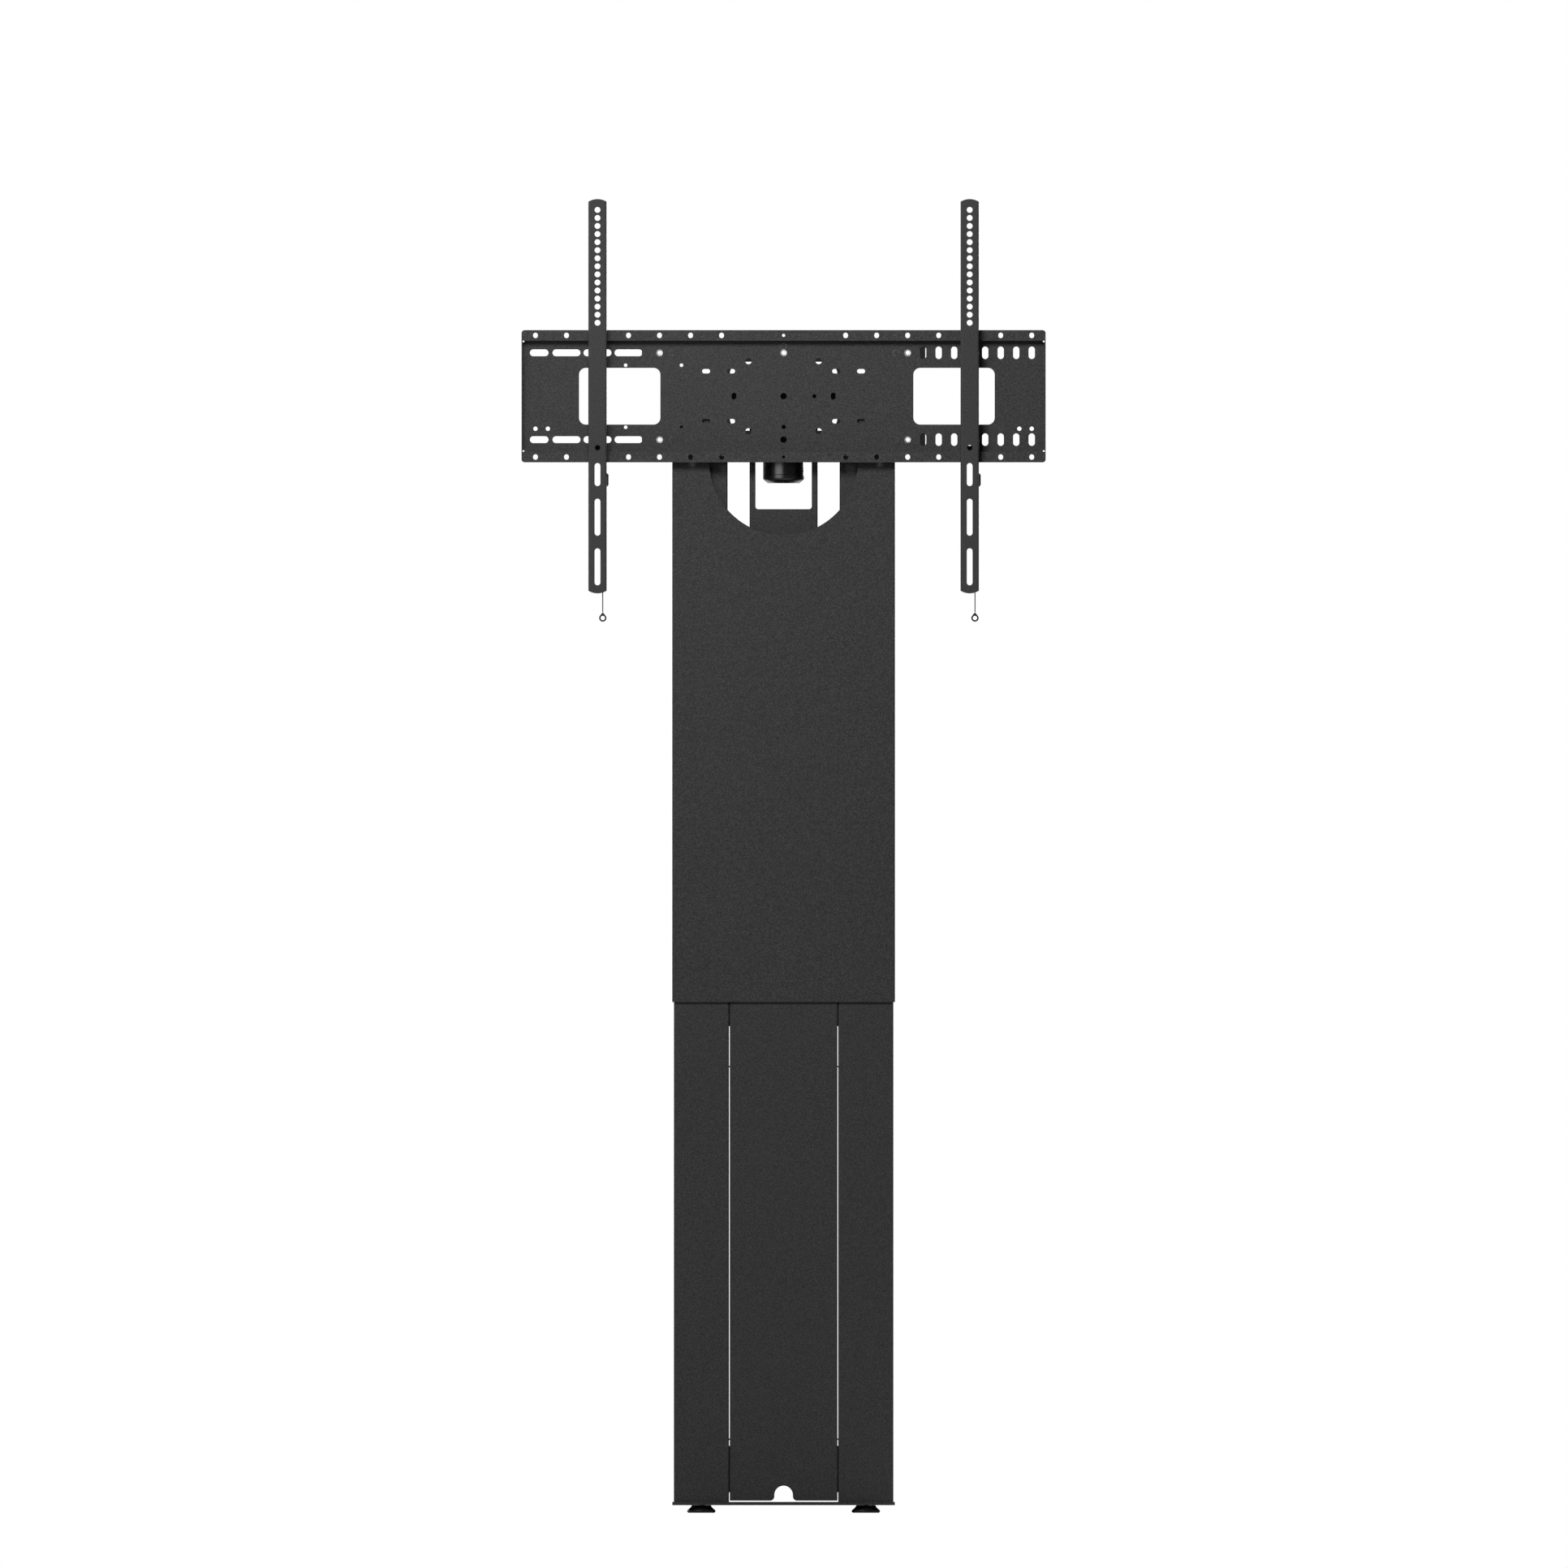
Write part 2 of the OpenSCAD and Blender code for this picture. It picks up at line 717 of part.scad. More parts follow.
bolt_drops = [75, 20];      // heights of the stand-off bolts below the display centre
spacer_x = 146.5;
spacer_w = 43;
spacer_h = 68;
spacer_top = cover_top - 4;
spacer_screw_z = 34;        // pitch of the two cover screws on a side

// Puts its children at each stand-off bolt, head forwards
module at_stand_off_bolts() {
    for (s = [-1, 1], d = bolt_drops)
        translate([s * stand_off_x, adapter_y, zc - d]) rotate([90, 0, 0]) children();
}

// Puts its children at each cover screw, head forwards
module at_cover_screws() {
    for (s = [-1, 1], t = [-1, 1])
        translate([s * spacer_x, cover_y, spacer_top - spacer_h / 2 + t * spacer_screw_z / 2])
            rotate([90, 0, 0]) children();
}

// A countersunk bolt with its flat head on z = 0 and its shank going down
module flush_bolt(gap) {
    translate([0, 0, -screw_head_h])
        cylinder(r1 = screw_r + gap, r2 = screw_head_r + gap, h = screw_head_h);
    translate([0, 0, -screw_len]) cylinder(r = screw_r + gap, h = screw_len - screw_head_h + eps);
}

module carriage_bolts() {
    color(black) {
        at_stand_off_bolts() flush_bolt(0);
        at_cover_screws() screw(small_r, sheet_t + mast_t, small_head_r, screw_head_h);
    }
}

// Puts its children at each press nut
module at_press_nuts() {
    for (s = [-1, 1], t = [-1, 1]) translate([s * 4 * row_pitch, t * row_z]) children();
    translate([0, row_z]) children();
}

// Puts its children at each clinched stud
module at_clinch_studs() {
    for (s = [-1, 1], t = [-1, 1]) translate([s * (4 * row_pitch - stud_side), t * row_z]) children();
    for (t = [-1, 1]) translate([0, t * (row_z + stud_rise)]) children();
}

// Holes that web and adapter share
module shared_holes() {
    at_press_nuts() circle(nut_d / 2 + run_gap);
    at_clinch_studs() circle(stud_clinch_r + run_gap);
    for (s = [-1, 1], t = [-1, 1])
        translate([s * short_slot_out, t * short_slot_z]) slot(short_slot_w, short_slot_h);
    for (t = [-1, 1]) translate([-pin_in, t * row_pitch]) circle(pin_r);
}

module adapter_plate() {
    color(charcoal) difference() {
        translate([0, 0, zc]) from_front(adapter_y, adapter_t) difference() {
            union() {
                square([adapter_waist_w, adapter_h], center = true);
                for (t = [-1, 1]) translate([0, t * (adapter_h / 2 + adapter_ear_z) / 2])
                    rounded_rect(adapter_w, adapter_h / 2 - adapter_ear_z, 3);
            }
            rounded_rect(adapter_win_w, adapter_win_h, adapter_win_r);
            shared_holes();
        }
        at_stand_off_bolts() {
            flush_bolt(run_gap);
            cylinder(r = screw_head_r + run_gap, h = 1);
        }
    }
}

// Holes and slots of the bracket's web, seen from the front
module web_holes() {
    shared_holes();
    for (t = [-1, 1]) translate([0, t * row_z]) {
        translate([-end_slot_x, 0]) slot(end_slot_w, slot_h);
        for (k = [5 : 7]) translate([-k * row_pitch, 0]) slot(slot_w, slot_h);
        for (k = [9 : 16]) translate([k * row_pitch / 2, 0]) slot(tall_slot_w, tall_slot_h);
    }
    translate([0, -row_z]) circle(centre_r);
    translate([left_window_x, 0]) rounded_rect(window_w, window_h, window_r);
    translate([right_window_x, 0]) rounded_rect(window_w, window_h, window_r);
    for (t = [-1, 1]) translate([-pin_out, t * row_pitch]) circle(pin_r);
    for (s = [-1, 1], x = pair_x) translate([s * x, -pair_z]) circle(pair_r);
    for (s = [-1, 1]) {
        for (t = [-1, 1])
            translate([s * short_slot_in, t * short_slot_z]) slot(short_slot_w, short_slot_h);
        translate([s * side_slot_x, 0]) slot(side_slot_w, side_slot_h);
        for (t = [-1, 1]) translate([s * ring_hole_at, t * ring_hole_at]) circle(ring_hole_r);
    }
    circle(centre_r);
    translate([right_hole_x, 0]) circle(right_hole_r);
    translate([0, -low_hole_z]) circle(low_hole_r);
}

// Holes of one of the bracket's lips, seen from the front
module lip_holes() {
    for (s = [-1, 1], k = [2 : 8]) translate([s * k * row_pitch, 0]) slot(lip_hole_w, lip_hole_h);
    circle(lip_hole_r);
}

module bracket_plate() {
    lip_mid = bracket_h / 2 - lip_h / 2;
    relief_r = 1.6;
    side_x = bracket_w / 2 - bracket_t;
    color(charcoal) translate([0, 0, zc]) difference() {
        union() {
            from_front(web_y, bracket_t) difference() {
                square([bracket_w, 2 * (lip_in + bracket_t)], center = true);
                web_holes();
            }
            for (t = [-1, 1]) {
                from_front(lip_y, bracket_t) translate([0, t * lip_mid]) difference() {
                    union() {
                        rounded_rect(bracket_w, lip_h, 5);
                        translate([0, -t * lip_h / 4]) square([bracket_w, lip_h / 2], center = true);
                    }
                    lip_holes();
                }
                translate([-bracket_w / 2, lip_y, t > 0 ? lip_in : -lip_in - bracket_t])
                    cube([bracket_w, bracket_d, bracket_t]);
            }
            for (s = [0, 1]) mirror([s, 0, 0]) translate([side_x, lip_y, -lip_in + 3])
                cube([bracket_t, bracket_d, 2 * lip_in - 6]);
        }
        for (s = [-1, 1], t = [-1, 1])
            translate([s * (side_x - 1), adapter_y + 1, t * (lip_in - 1)])
                rotate([90, 0, 0]) cylinder(r = relief_r, h = bracket_t + 2);
    }
}

module press_nuts() {
    color(zinc) translate([0, 0, zc]) from_front(web_y - 0.3, bracket_t + adapter_t + 2.5)
        at_press_nuts() difference() {
            circle(nut_d / 2);
            circle(nut_bore_d / 2);
        }
}

module clinch_studs() {
    color(charcoal) translate([0, 0, zc]) from_front(web_y, bracket_t + adapter_t)
        at_clinch_studs() circle(stud_clinch_r);
}

// Motor cradle with its control box, mains inlet and motor
inlet_y = cradle_y + mast_t + 30;

module motor_cradle() {
    win_top = head_z - 12;
    sill = zc - cradle_sill;
    color(charcoal) difference() {
        union() {
            translate([0, cradle_y, 0])
                upright(cradle_z, head_z) sheet_u(cradle_w, cradle_d, mast_t, bend_r);
            translate([0, cradle_y + mast_t + (cradle_d - mast_t) / 2, 0])
                upright(cradle_z, cradle_z + mast_t)
                    square([cradle_w - mast_t, cradle_d - mast_t], center = true);
        }
        translate([0, 0, (sill + win_top) / 2])
            from_front(cradle_y - 1, mast_t + 2) rounded_rect(cradle_win_w, win_top - sill, 4.5);
        translate([0, inlet_y, 0]) upright(cradle_z - 1, cradle_z + mast_t + 1)
            square([inlet_w + 2 * run_gap, inlet_d + 2 * run_gap], center = true);
    }
}

module control_box() {
    box_z = cradle_z + mast_t;
    color(black) difference() {
        translate([0, cradle_y + mast_t + box_d / 2, 0])
            upright(box_z, box_z + box_h) rounded_rect(box_w, box_d, 3);
        translate([0, inlet_y, 0]) upright(box_z - 1, cradle_z + inlet_deep + run_gap)
            square([inlet_w + 2 * run_gap, inlet_d + 2 * run_gap], center = true);
    }
}

module mains_inlet() {
    color(black) translate([0, inlet_y, 0]) {
        difference() {
            union() {
                upright(cradle_z, cradle_z + inlet_deep) square([inlet_w, inlet_d], center = true);
                upright(cradle_z - mast_t, cradle_z) rounded_rect(inlet_w + 8, inlet_d + 8, 3);
            }
            upright(cradle_z - mast_t - 1, cradle_z + inlet_deep - inlet_wall)
                rounded_rect(inlet_mouth_w, inlet_mouth_d, 3);
        }
        for (p = [[-7, -2], [7, -2], [0, 3]])
            translate([p[0], p[1], 0]) upright(cradle_z, cradle_z + inlet_deep - 2)
                square([2, 4], center = true);
    }
}

module motor_housing() {
    color(black) translate([0, drive_y, 0]) difference() {
        union() {
            upright(motor_z + motor_cap_h, head_z - motor_flange_t) circle(d = motor_d, $fn = 96);
            upright(head_z - motor_flange_t, head_z) rounded_rect(motor_d, motor_d, 6);
        }
        translate([0, 0, head_z - shaft_deep]) cylinder(r = shaft_r + run_gap, h = shaft_deep + 1);
    }
}

module motor_cap() {
    r = motor_d / 2;
    color(black) translate([0, drive_y, motor_z]) rotate_extrude($fn = 96) polygon([
        [0, 0], [r - motor_bevel_r, 0], [r, motor_bevel_h], [r, motor_cap_h], [0, motor_cap_h]]);
}

// Covers
module cover_profile() {
    translate([0, cover_y]) sheet_u(cover_w, cover_d, sheet_t, bend_r);
}

module upper_cover() {
    notch_z = zc - cover_notch_drop;
    color(charcoal) difference() {
        upright(seam_z, cover_top) cover_profile();
        translate([0, 0, notch_z]) from_front(cover_y - 1, sheet_t + 2) {
            circle(cover_notch_r, $fn = 128);
            translate([0, cover_notch_r / 2 + 10])
                square([2 * cover_notch_r, cover_notch_r + 20], center = true);
        }
        at_cover_screws() shank_hole(small_r + run_gap, 2 * sheet_t);
    }
}

module lower_cover() {
    color(charcoal) upright(cover_z, seam_z) cover_profile();
}

splice_h = 40;

module splice_strip() {
    color(charcoal) translate([0, cover_in + sheet_t / 2, 0])
        upright(seam_z - splice_h / 2, seam_z + splice_h / 2)
            square([cover_w - 4 * bend_r, sheet_t], center = true);
}

module cover_spacers() {
    color(steel) difference() {
        for (s = [-1, 1]) translate([s * spacer_x, cover_in, 0])
            upright(spacer_top - spacer_h, spacer_top)
                sheet_u(spacer_w, mast_y - cover_in, mast_t, bend_r);
        at_cover_screws() shank_hole(small_r + run_gap, sheet_t + 2 * mast_t);
    }
}

// Drive in the head beam
module spindle_bearings() {
    color(steel) for (s = [-1, 1]) translate([s * spindle_x, drive_y, 0]) difference() {
        union() {
            upright(head_z - bearing_drop, head_z) circle(bearing_r + bearing_lip);
            upright(head_z - bearing_drop, head_z + mast_t + 1) circle(bearing_r);
        }
        upright(head_z - bearing_drop - 1, head_z + mast_t + 2) circle(spindle_r + run_gap);
    }
}

module drive_belts() {
    r = pulley_r + seat_gap;
    color(rubber) for (k = [0, 1]) translate([(2 * k - 1) * spindle_x / 2, drive_y, 0])
        upright(belt_z + k * level_h + flange_t + belt_side_gap,
                belt_z + k * level_h + flange_t + belt_side_gap + belt_w) difference() {
            slot(spindle_x + 2 * (r + belt_t), 2 * (r + belt_t));
            slot(spindle_x + 2 * r, 2 * r);
        }
}

// One flanged belt track, on a bore
module belt_track(bore) {
    rotate_extrude() polygon([
        [bore, 0], [flange_r, 0], [flange_r, flange_t], [pulley_r, flange_t],
        [pulley_r, level_h - flange_t], [flange_r, level_h - flange_t], [flange_r, level_h],
        [bore, level_h]]);
}

module motor_shaft() {
    color(steel) translate([0, drive_y, 0])
        upright(head_z - shaft_deep + seat_gap, shaft_top) circle(shaft_r);
}

module drive_pulley() {
    color(zinc) translate([0, drive_y, belt_z]) {
        belt_track(shaft_r);
        translate([0, 0, level_h]) belt_track(shaft_r);
    }
}

module spindle(side) {
    collar_top = head_z - bearing_drop - seat_gap;
    color(steel) translate([side * spindle_x, drive_y, 0]) {
        upright(spindle_z, shaft_top) circle(spindle_r);
        upright(collar_top - collar_h, collar_top) circle(bearing_r - 1);
    }
}

// The pulley at the given level of the drive, with a hub over the other level
module spindle_pulley(side, level) {
    color(zinc) translate([side * spindle_x, drive_y, belt_z]) {
        translate([0, 0, level * level_h]) belt_track(spindle_r);
        difference() {
            translate([0, 0, (1 - level) * level_h]) cylinder(r = spindle_r + 4, h = level_h);
            translate([0, 0, -1]) cylinder(r = spindle_r, h = 2 * level_h + 2);
        }
    }
}

// Display arms
arm_slots = [[126.3, 37], [195, 59.5], [275, 59.5]];    // drop and length of each long slot
strip_x = 5.2;              // inner edge of the latch strip, clear of the long slots
latch_back = lip_y + bracket_t + hook_gap;
latch_shelf = 10;
spring_wire_r = 0.5;
spring_r = 2.9;
spring_turns = 7;
seat_top = 185;
seat_t = 2;
latch_mid_y = latch_y + latch_t / 2;

module dome(h) {
    half = arm_w / 2;
    r = (half * half + h * h) / (2 * h);
    intersection() {
        translate([0, h - r]) circle(r, $fn = 128);
        translate([0, half / 2]) square([arm_w, half], center = true);
    }
}

module arm_holes_2d() {
    for (k = [0 : arm_holes - 1])
        translate([0, arm_hole_top - k * arm_hole_pitch]) circle(d = arm_hole_d);
    translate([0, -83]) circle(4.4);
    for (a = arm_slots) translate([0, -a[0]]) slot(arm_slot_w, a[1]);
}

// Side outline of the hooks that hang over the bracket's upper lip
module hook_profile() {
    back = latch_back + hook_w;
    polygon([
        [arm_back - arm_t, hook_top - 30], [arm_back, hook_top - 30], [arm_back, bracket_h / 2 + hook_gap],
        [latch_back, bracket_h / 2 + hook_gap], [latch_back, hook_tip], [back - 2, hook_tip],
        [back, hook_tip + 3], [back, hook_top - 4], [back - 4, hook_top], [arm_back - arm_t, hook_top]]);
}

module arm(side) {
    wall_in = arm_w / 2 - arm_t;
    color(charcoal) translate([side * arm_x, 0, zc]) difference() {
        union() {
            difference() {
                union() {
                    translate([0, arm_y, 0]) upright(-arm_h / 2, arm_h / 2)
                        sheet_u(arm_w, arm_d, arm_t, arm_bend);
                    for (t = [0, 1]) mirror([0, 0, t]) translate([0, 0, arm_h / 2 - eps])
                        from_front(arm_y, arm_t) dome(arm_dome);
                }
                from_front(arm_y - 1, arm_t + 2) arm_holes_2d();
            }
            for (x = [-arm_w / 2, wall_in]) from_side(x, arm_t) hook_profile();
            for (y = [latch_y - seat_gap - guide_r, latch_y + latch_t + seat_gap + guide_r])
                translate([strip_x, y, -guide_z]) rotate([0, 90, 0])
                    cylinder(r = guide_r, h = wall_in - strip_x + eps, $fn = 24);
            translate([strip_x, latch_y - 4, -seat_top - seat_t])
                cube([wall_in - strip_x + eps, latch_t + 8, seat_t]);
        }
        translate([wall_in - 1, latch_y - 0.2, -tab_low - latch_travel - 0.5])
            cube([arm_t + 2, latch_t + 0.4, tab_low - tab_high + latch_travel + 1]);
        translate([cord_x, latch_mid_y, -seat_top - seat_t - 1])
            cylinder(r = cord_d / 2 + hook_gap, h = seat_t + 2);
    }
}

module latch(side) {
    back = latch_back + 5;
    color(black) translate([side * arm_x, 0, zc]) {
        from_side(strip_x, latch_half - strip_x) polygon([
            [latch_y, -latch_low], [latch_y, -latch_top], [latch_back, -latch_top],
            [latch_back, -latch_tip], [back - 3, -latch_tip], [back, -latch_tip - 4],
            [back, -latch_top - latch_shelf], [latch_y + latch_t, -latch_top - latch_shelf],
            [latch_y + latch_t, -latch_low]]);
        translate([strip_x, latch_y - 2.5, -latch_low]) cube([latch_half - strip_x, latch_t + 5, 2.5]);
        from_front(latch_y, latch_t) polygon([
            [latch_half - 1, -tab_low], [arm_w / 2, -tab_low], [arm_w / 2 + tab_out, -tab_low + tab_out],
            [arm_w / 2 + tab_out, -tab_high - tab_out], [arm_w / 2, -tab_high],
            [latch_half - 1, -tab_high]]);
    }
}

// The coil spring that pushes a latch up, from its seat to the latch
module latch_spring(side) {
    steps = 12 * spring_turns;
    rise = seat_top - latch_low - 2 * spring_wire_r;
    echo(spring_gap = rise / spring_turns - 2 * spring_wire_r);
    color(steel) translate([side * arm_x + cord_x, latch_mid_y, zc - seat_top + spring_wire_r])
        ring_tube([for (k = [0 : steps]) let (a = 30 * k) [for (i = [0 : 5])
            let (u = spring_r + spring_wire_r * cos(60 * i), v = -spring_wire_r * sin(60 * i))
            [u * cos(a), u * sin(a), v + rise * k / steps]]]);
}

module pull_cord(side) {
    last = len(cord_route) - 1;
    color(black) translate([side * arm_x + cord_x, latch_mid_y, zc - latch_low])
        ring_tube([for (k = [last : -1 : 0]) [for (i = [0 : 7])
            cord_route[k] + cord_d / 2 * [cos(45 * i), sin(45 * i), 0]]]);
}

// A flat ring with a wedge that narrows upwards to the cord, in the shape of a drop
module pull_ring(side) {
    r = ring_d / 2;
    neck = ring_z - cord_low;
    neck_w = 1.2 * cord_d;
    color(black) translate([side * arm_x + cord_x, latch_mid_y - ring_t / 2, zc - ring_z])
        from_front(0, ring_t) difference() {
            union() {
                circle(r);
                polygon([[-0.85 * r, r / 2], [0.85 * r, r / 2], [neck_w / 2, neck], [-neck_w / 2, neck]]);
            }
            circle(r - ring_t);
        }
}

base_plate();
foot(-1, -1);  // foot_front_left
foot(1, -1);  // foot_front_right
foot(-1, 1);  // foot_rear_left
foot(1, 1);  // foot_rear_right
stud(-1, -1);  // stud_front_left
stud(1, -1);  // stud_front_right
stud(-1, 1);  // stud_rear_left
stud(1, 1);  // stud_rear_right
foot_nuts();
casing(-1);  // left_casing
casing(1);  // right_casing
cross_member(cross_low_z, true);  // lower_cross_member
cross_member(cross_high_z, false);  // upper_cross_member
wall_bracket(cross_low_z, true);  // lower_wall_bracket
wall_bracket(cross_high_z, false);  // upper_wall_bracket
front_door();
support_tube(-1);  // left_support_tube
support_tube(1);  // right_support_tube
spindle_nuts();
casing_glides();
casing_bolts();
mast(-1);  // left_mast
mast(1);  // right_mast
mast_glides();
head_beam();
drive_lid();
stand_offs();
adapter_plate();
bracket_plate();
press_nuts();
clinch_studs();
carriage_bolts();
motor_cradle();
control_box();
mains_inlet();
motor_housing();
motor_cap();
upper_cover();
lower_cover();
splice_strip();
cover_spacers();
spindle_bearings();
drive_belts();
motor_shaft();
drive_pulley();
spindle(-1);  // left_spindle
spindle_pulley(-1, 0);  // left_pulley
spindle(1);  // right_spindle
spindle_pulley(1, 1);  // right_pulley
arm(-1);  // left_arm
latch(-1);  // left_latch
latch_spring(-1);  // left_latch_spring
pull_cord(-1);  // left_pull_cord
pull_ring(-1);  // left_pull_ring
arm(1);  // right_arm
latch(1);  // right_latch
latch_spring(1);  // right_latch_spring
pull_cord(1);  // right_pull_cord
pull_ring(1);  // right_pull_ring
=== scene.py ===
# %% [markdown]
# A motorised display lift, dressed for the camera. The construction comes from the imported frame:
# casings, masts, bracket, arms and drive, each already at its real size. This lesson gives every
# sheet, screw and belt its finish, and builds the pieces whose beauty is in small shapes, such as
# threads, springs and rounded edges. Everything is in metres, +Z is up and the display faces -Y.

# %% Load the frame
import json
import math

import bmesh
import bpy
import mathutils
import numpy as np
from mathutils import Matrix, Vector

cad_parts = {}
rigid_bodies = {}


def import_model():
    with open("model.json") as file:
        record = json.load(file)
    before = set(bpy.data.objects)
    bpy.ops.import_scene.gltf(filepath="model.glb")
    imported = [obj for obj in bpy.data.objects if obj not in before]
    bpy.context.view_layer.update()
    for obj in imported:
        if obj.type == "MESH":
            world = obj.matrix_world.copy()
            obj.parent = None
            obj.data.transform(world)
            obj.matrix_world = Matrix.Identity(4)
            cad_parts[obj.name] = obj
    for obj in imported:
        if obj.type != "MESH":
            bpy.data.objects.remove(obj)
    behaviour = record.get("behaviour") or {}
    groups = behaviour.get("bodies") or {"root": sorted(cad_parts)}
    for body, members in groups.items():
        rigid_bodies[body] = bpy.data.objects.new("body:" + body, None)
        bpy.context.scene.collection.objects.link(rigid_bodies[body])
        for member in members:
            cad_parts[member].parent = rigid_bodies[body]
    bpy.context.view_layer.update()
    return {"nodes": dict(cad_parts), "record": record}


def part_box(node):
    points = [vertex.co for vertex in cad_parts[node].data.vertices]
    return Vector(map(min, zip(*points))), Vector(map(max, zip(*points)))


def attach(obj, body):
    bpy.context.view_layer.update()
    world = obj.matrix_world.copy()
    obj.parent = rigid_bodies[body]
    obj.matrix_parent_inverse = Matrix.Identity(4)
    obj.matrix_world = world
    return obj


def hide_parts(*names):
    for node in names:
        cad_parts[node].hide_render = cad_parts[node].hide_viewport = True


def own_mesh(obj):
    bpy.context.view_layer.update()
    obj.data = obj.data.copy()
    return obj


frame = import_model()
nodes = frame["nodes"]


def plain(box):
    """The low and high corners of a box as lists of numbers."""
    return [[float(v) for v in corner] for corner in box]


# %% [markdown]
# The photograph has no perspective: the masts' inner faces never show, and the slits beside the
# door are as wide at the floor as at the top. So the camera is orthographic. Its scale is the
# width of the picture in metres: 1932 pixels at 1.3083 mm each, the scale at which the bracket's
# hole rows come out at their 50 mm pitch.

# %% Camera
MM = 0.001
PHOTO_PIXELS = 1932
MM_PER_PIXEL = 1.3083
CAMERA_X = 0.65 * MM
CAMERA_Z = 1174.9 * MM
CAMERA_DISTANCE = 6.0
CAMERA_REACH = 60

camera_data = bpy.data.cameras.new("camera")
camera_data.type = "ORTHO"
camera_data.ortho_scale = PHOTO_PIXELS * MM_PER_PIXEL * MM
camera_data.clip_end = CAMERA_REACH
camera = bpy.data.objects.new("camera", camera_data)
camera.location = (CAMERA_X, -CAMERA_DISTANCE, CAMERA_Z)
camera.rotation_euler = (math.radians(90), 0, 0)
bpy.context.scene.collection.objects.link(camera)
bpy.context.scene.camera = camera

# %% [markdown]
# Most new pieces are surfaces computed on a grid: numpy fills an array of points in one go, and
# one helper turns any such grid into a mesh. Rows can wrap round, as on a tube, and an open end
# can be closed with a fan of triangles round its middle.

# %% Grids of points to meshes
def new_object(name, vertices, faces):
    """A mesh object from an (n, 3) array of points and a list of faces, its normals outwards."""
    mesh = bpy.data.meshes.new(name)
    mesh.from_pydata(np.asarray(vertices, float).tolist(), [], faces)
    tidy = bmesh.new()
    tidy.from_mesh(mesh)
    bmesh.ops.remove_doubles(tidy, verts=tidy.verts, dist=1e-7)
    bmesh.ops.recalc_face_normals(tidy, faces=tidy.faces)
    tidy.to_mesh(mesh)
    tidy.free()
    piece = bpy.data.objects.new(name, mesh)
    bpy.context.scene.collection.objects.link(piece)
    return piece


def grid_faces(rows, columns, wrap_columns=True):
    """Quads between neighbours of a rows by columns grid; wrapped, its last column joins its first."""
    index = np.arange(rows * columns).reshape(rows, columns)
    across = np.roll(index, -1, axis=1)
    if not wrap_columns:
        index, across = index[:, :-1], across[:, :-1]
    quads = np.stack([index[:-1], across[:-1], across[1:], index[1:]], axis=-1)
    return quads.reshape(-1, 4).tolist()


def capped(grid):
    """Vertices and faces of a closed tube: a (rows, columns, 3) grid with a fan on each end ring."""
    rows, columns, _ = grid.shape
    ends = [grid[0].mean(0), grid[-1].mean(0)]
    vertices = np.concatenate([grid.reshape(-1, 3), ends])
    faces = grid_faces(rows, columns)
    low, high = rows * columns, rows * columns + 1
    step = np.arange(columns)
    after = np.roll(step, -1)
    last = (rows - 1) * columns
    faces += np.stack([step, after, np.full(columns, low)], -1)[:, ::-1].tolist()
    faces += np.stack([last + step, last + after, np.full(columns, high)], -1).tolist()
    return vertices, faces


SIDEWAYS = (0.31, 0.95, 0.05)


def tube(path, radius, sides):
    """A round tube: each ring lies across the path's direction, laid out from one sideways vector."""
    path = np.asarray(path, float)
    along = np.gradient(path, axis=0)
    along /= np.linalg.norm(along, axis=1)[:, None]
    across = np.cross(along, SIDEWAYS)
    across /= np.linalg.norm(across, axis=1)[:, None]
    third = np.cross(along, across)
    angle = np.linspace(0, 2 * np.pi, sides, endpoint=False)[:, None]
    ring = np.cos(angle) * across[:, None, :] + np.sin(angle) * third[:, None, :]
    return capped(path[:, None, :] + radius * ring)


# %% [markdown]
# Each latch is pulled open by a thin cord that hangs out of the arm's lower end, with a small
# moulded ring on it. The cord is a real length of cord, 198 mm from its fixing in the latch to
# the ring, and hangs almost straight. It follows the same points as the frame's cord.

# %% Pull cords
CORD_D = 1.7 * MM
CORD_SIDES = 12
CORD_X = 8.5 * MM
ARM_X = 300 * MM
DISPLAY_Z = 1800 * MM
CORD_DROP = 150 * MM
CORD_TOP_Z = DISPLAY_Z - CORD_DROP
CORD_ROUTE = np.array([
    [0, 0, 0], [0, 0, -10], [0, 0, -25], [0, 0, -40], [0.1, 0, -55], [0.2, 0, -70], [0.2, 0, -85],
    [0.2, 0, -100], [0.1, 0, -115], [0, 0, -130], [-0.1, 0, -145], [-0.1, 0, -160], [0, 0, -175],
    [0, 0, -188], [0, 0, -198],
]) * MM
cord_y = sum(corner.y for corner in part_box("right_pull_cord")) / 2


def pull_cord(side):
    """A tube along the route, from the latch down. It is dressed further on."""
    start = np.array([side * ARM_X + CORD_X, cord_y, CORD_TOP_Z])
    name = "left" if side < 0 else "right"
    path = start + CORD_ROUTE
    piece = new_object(name + "_cord", *tube(path, CORD_D / 2, CORD_SIDES))
    return piece, path, name


cords = [pull_cord(side) for side in (-1, 1)]
print("cords:", [len(piece.data.vertices) for piece, _, _ in cords], "vertices")

# %% [markdown]
# Round parts are turned on a lathe, so they are built as a lathe would cut them: a list of
# radius and height pairs, carried round an axis. A radius may itself be an array that changes
# on the way round, which is all that a hexagon needs.

# %% Lathe helpers
def corners(name):
    """Lowest and highest corners of a frame node at rest, as arrays in metres."""
    low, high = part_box(name)
    return np.array(low), np.array(high)


def middle(name):
    """The centre of a frame node's box."""
    return sum(corners(name)) / 2


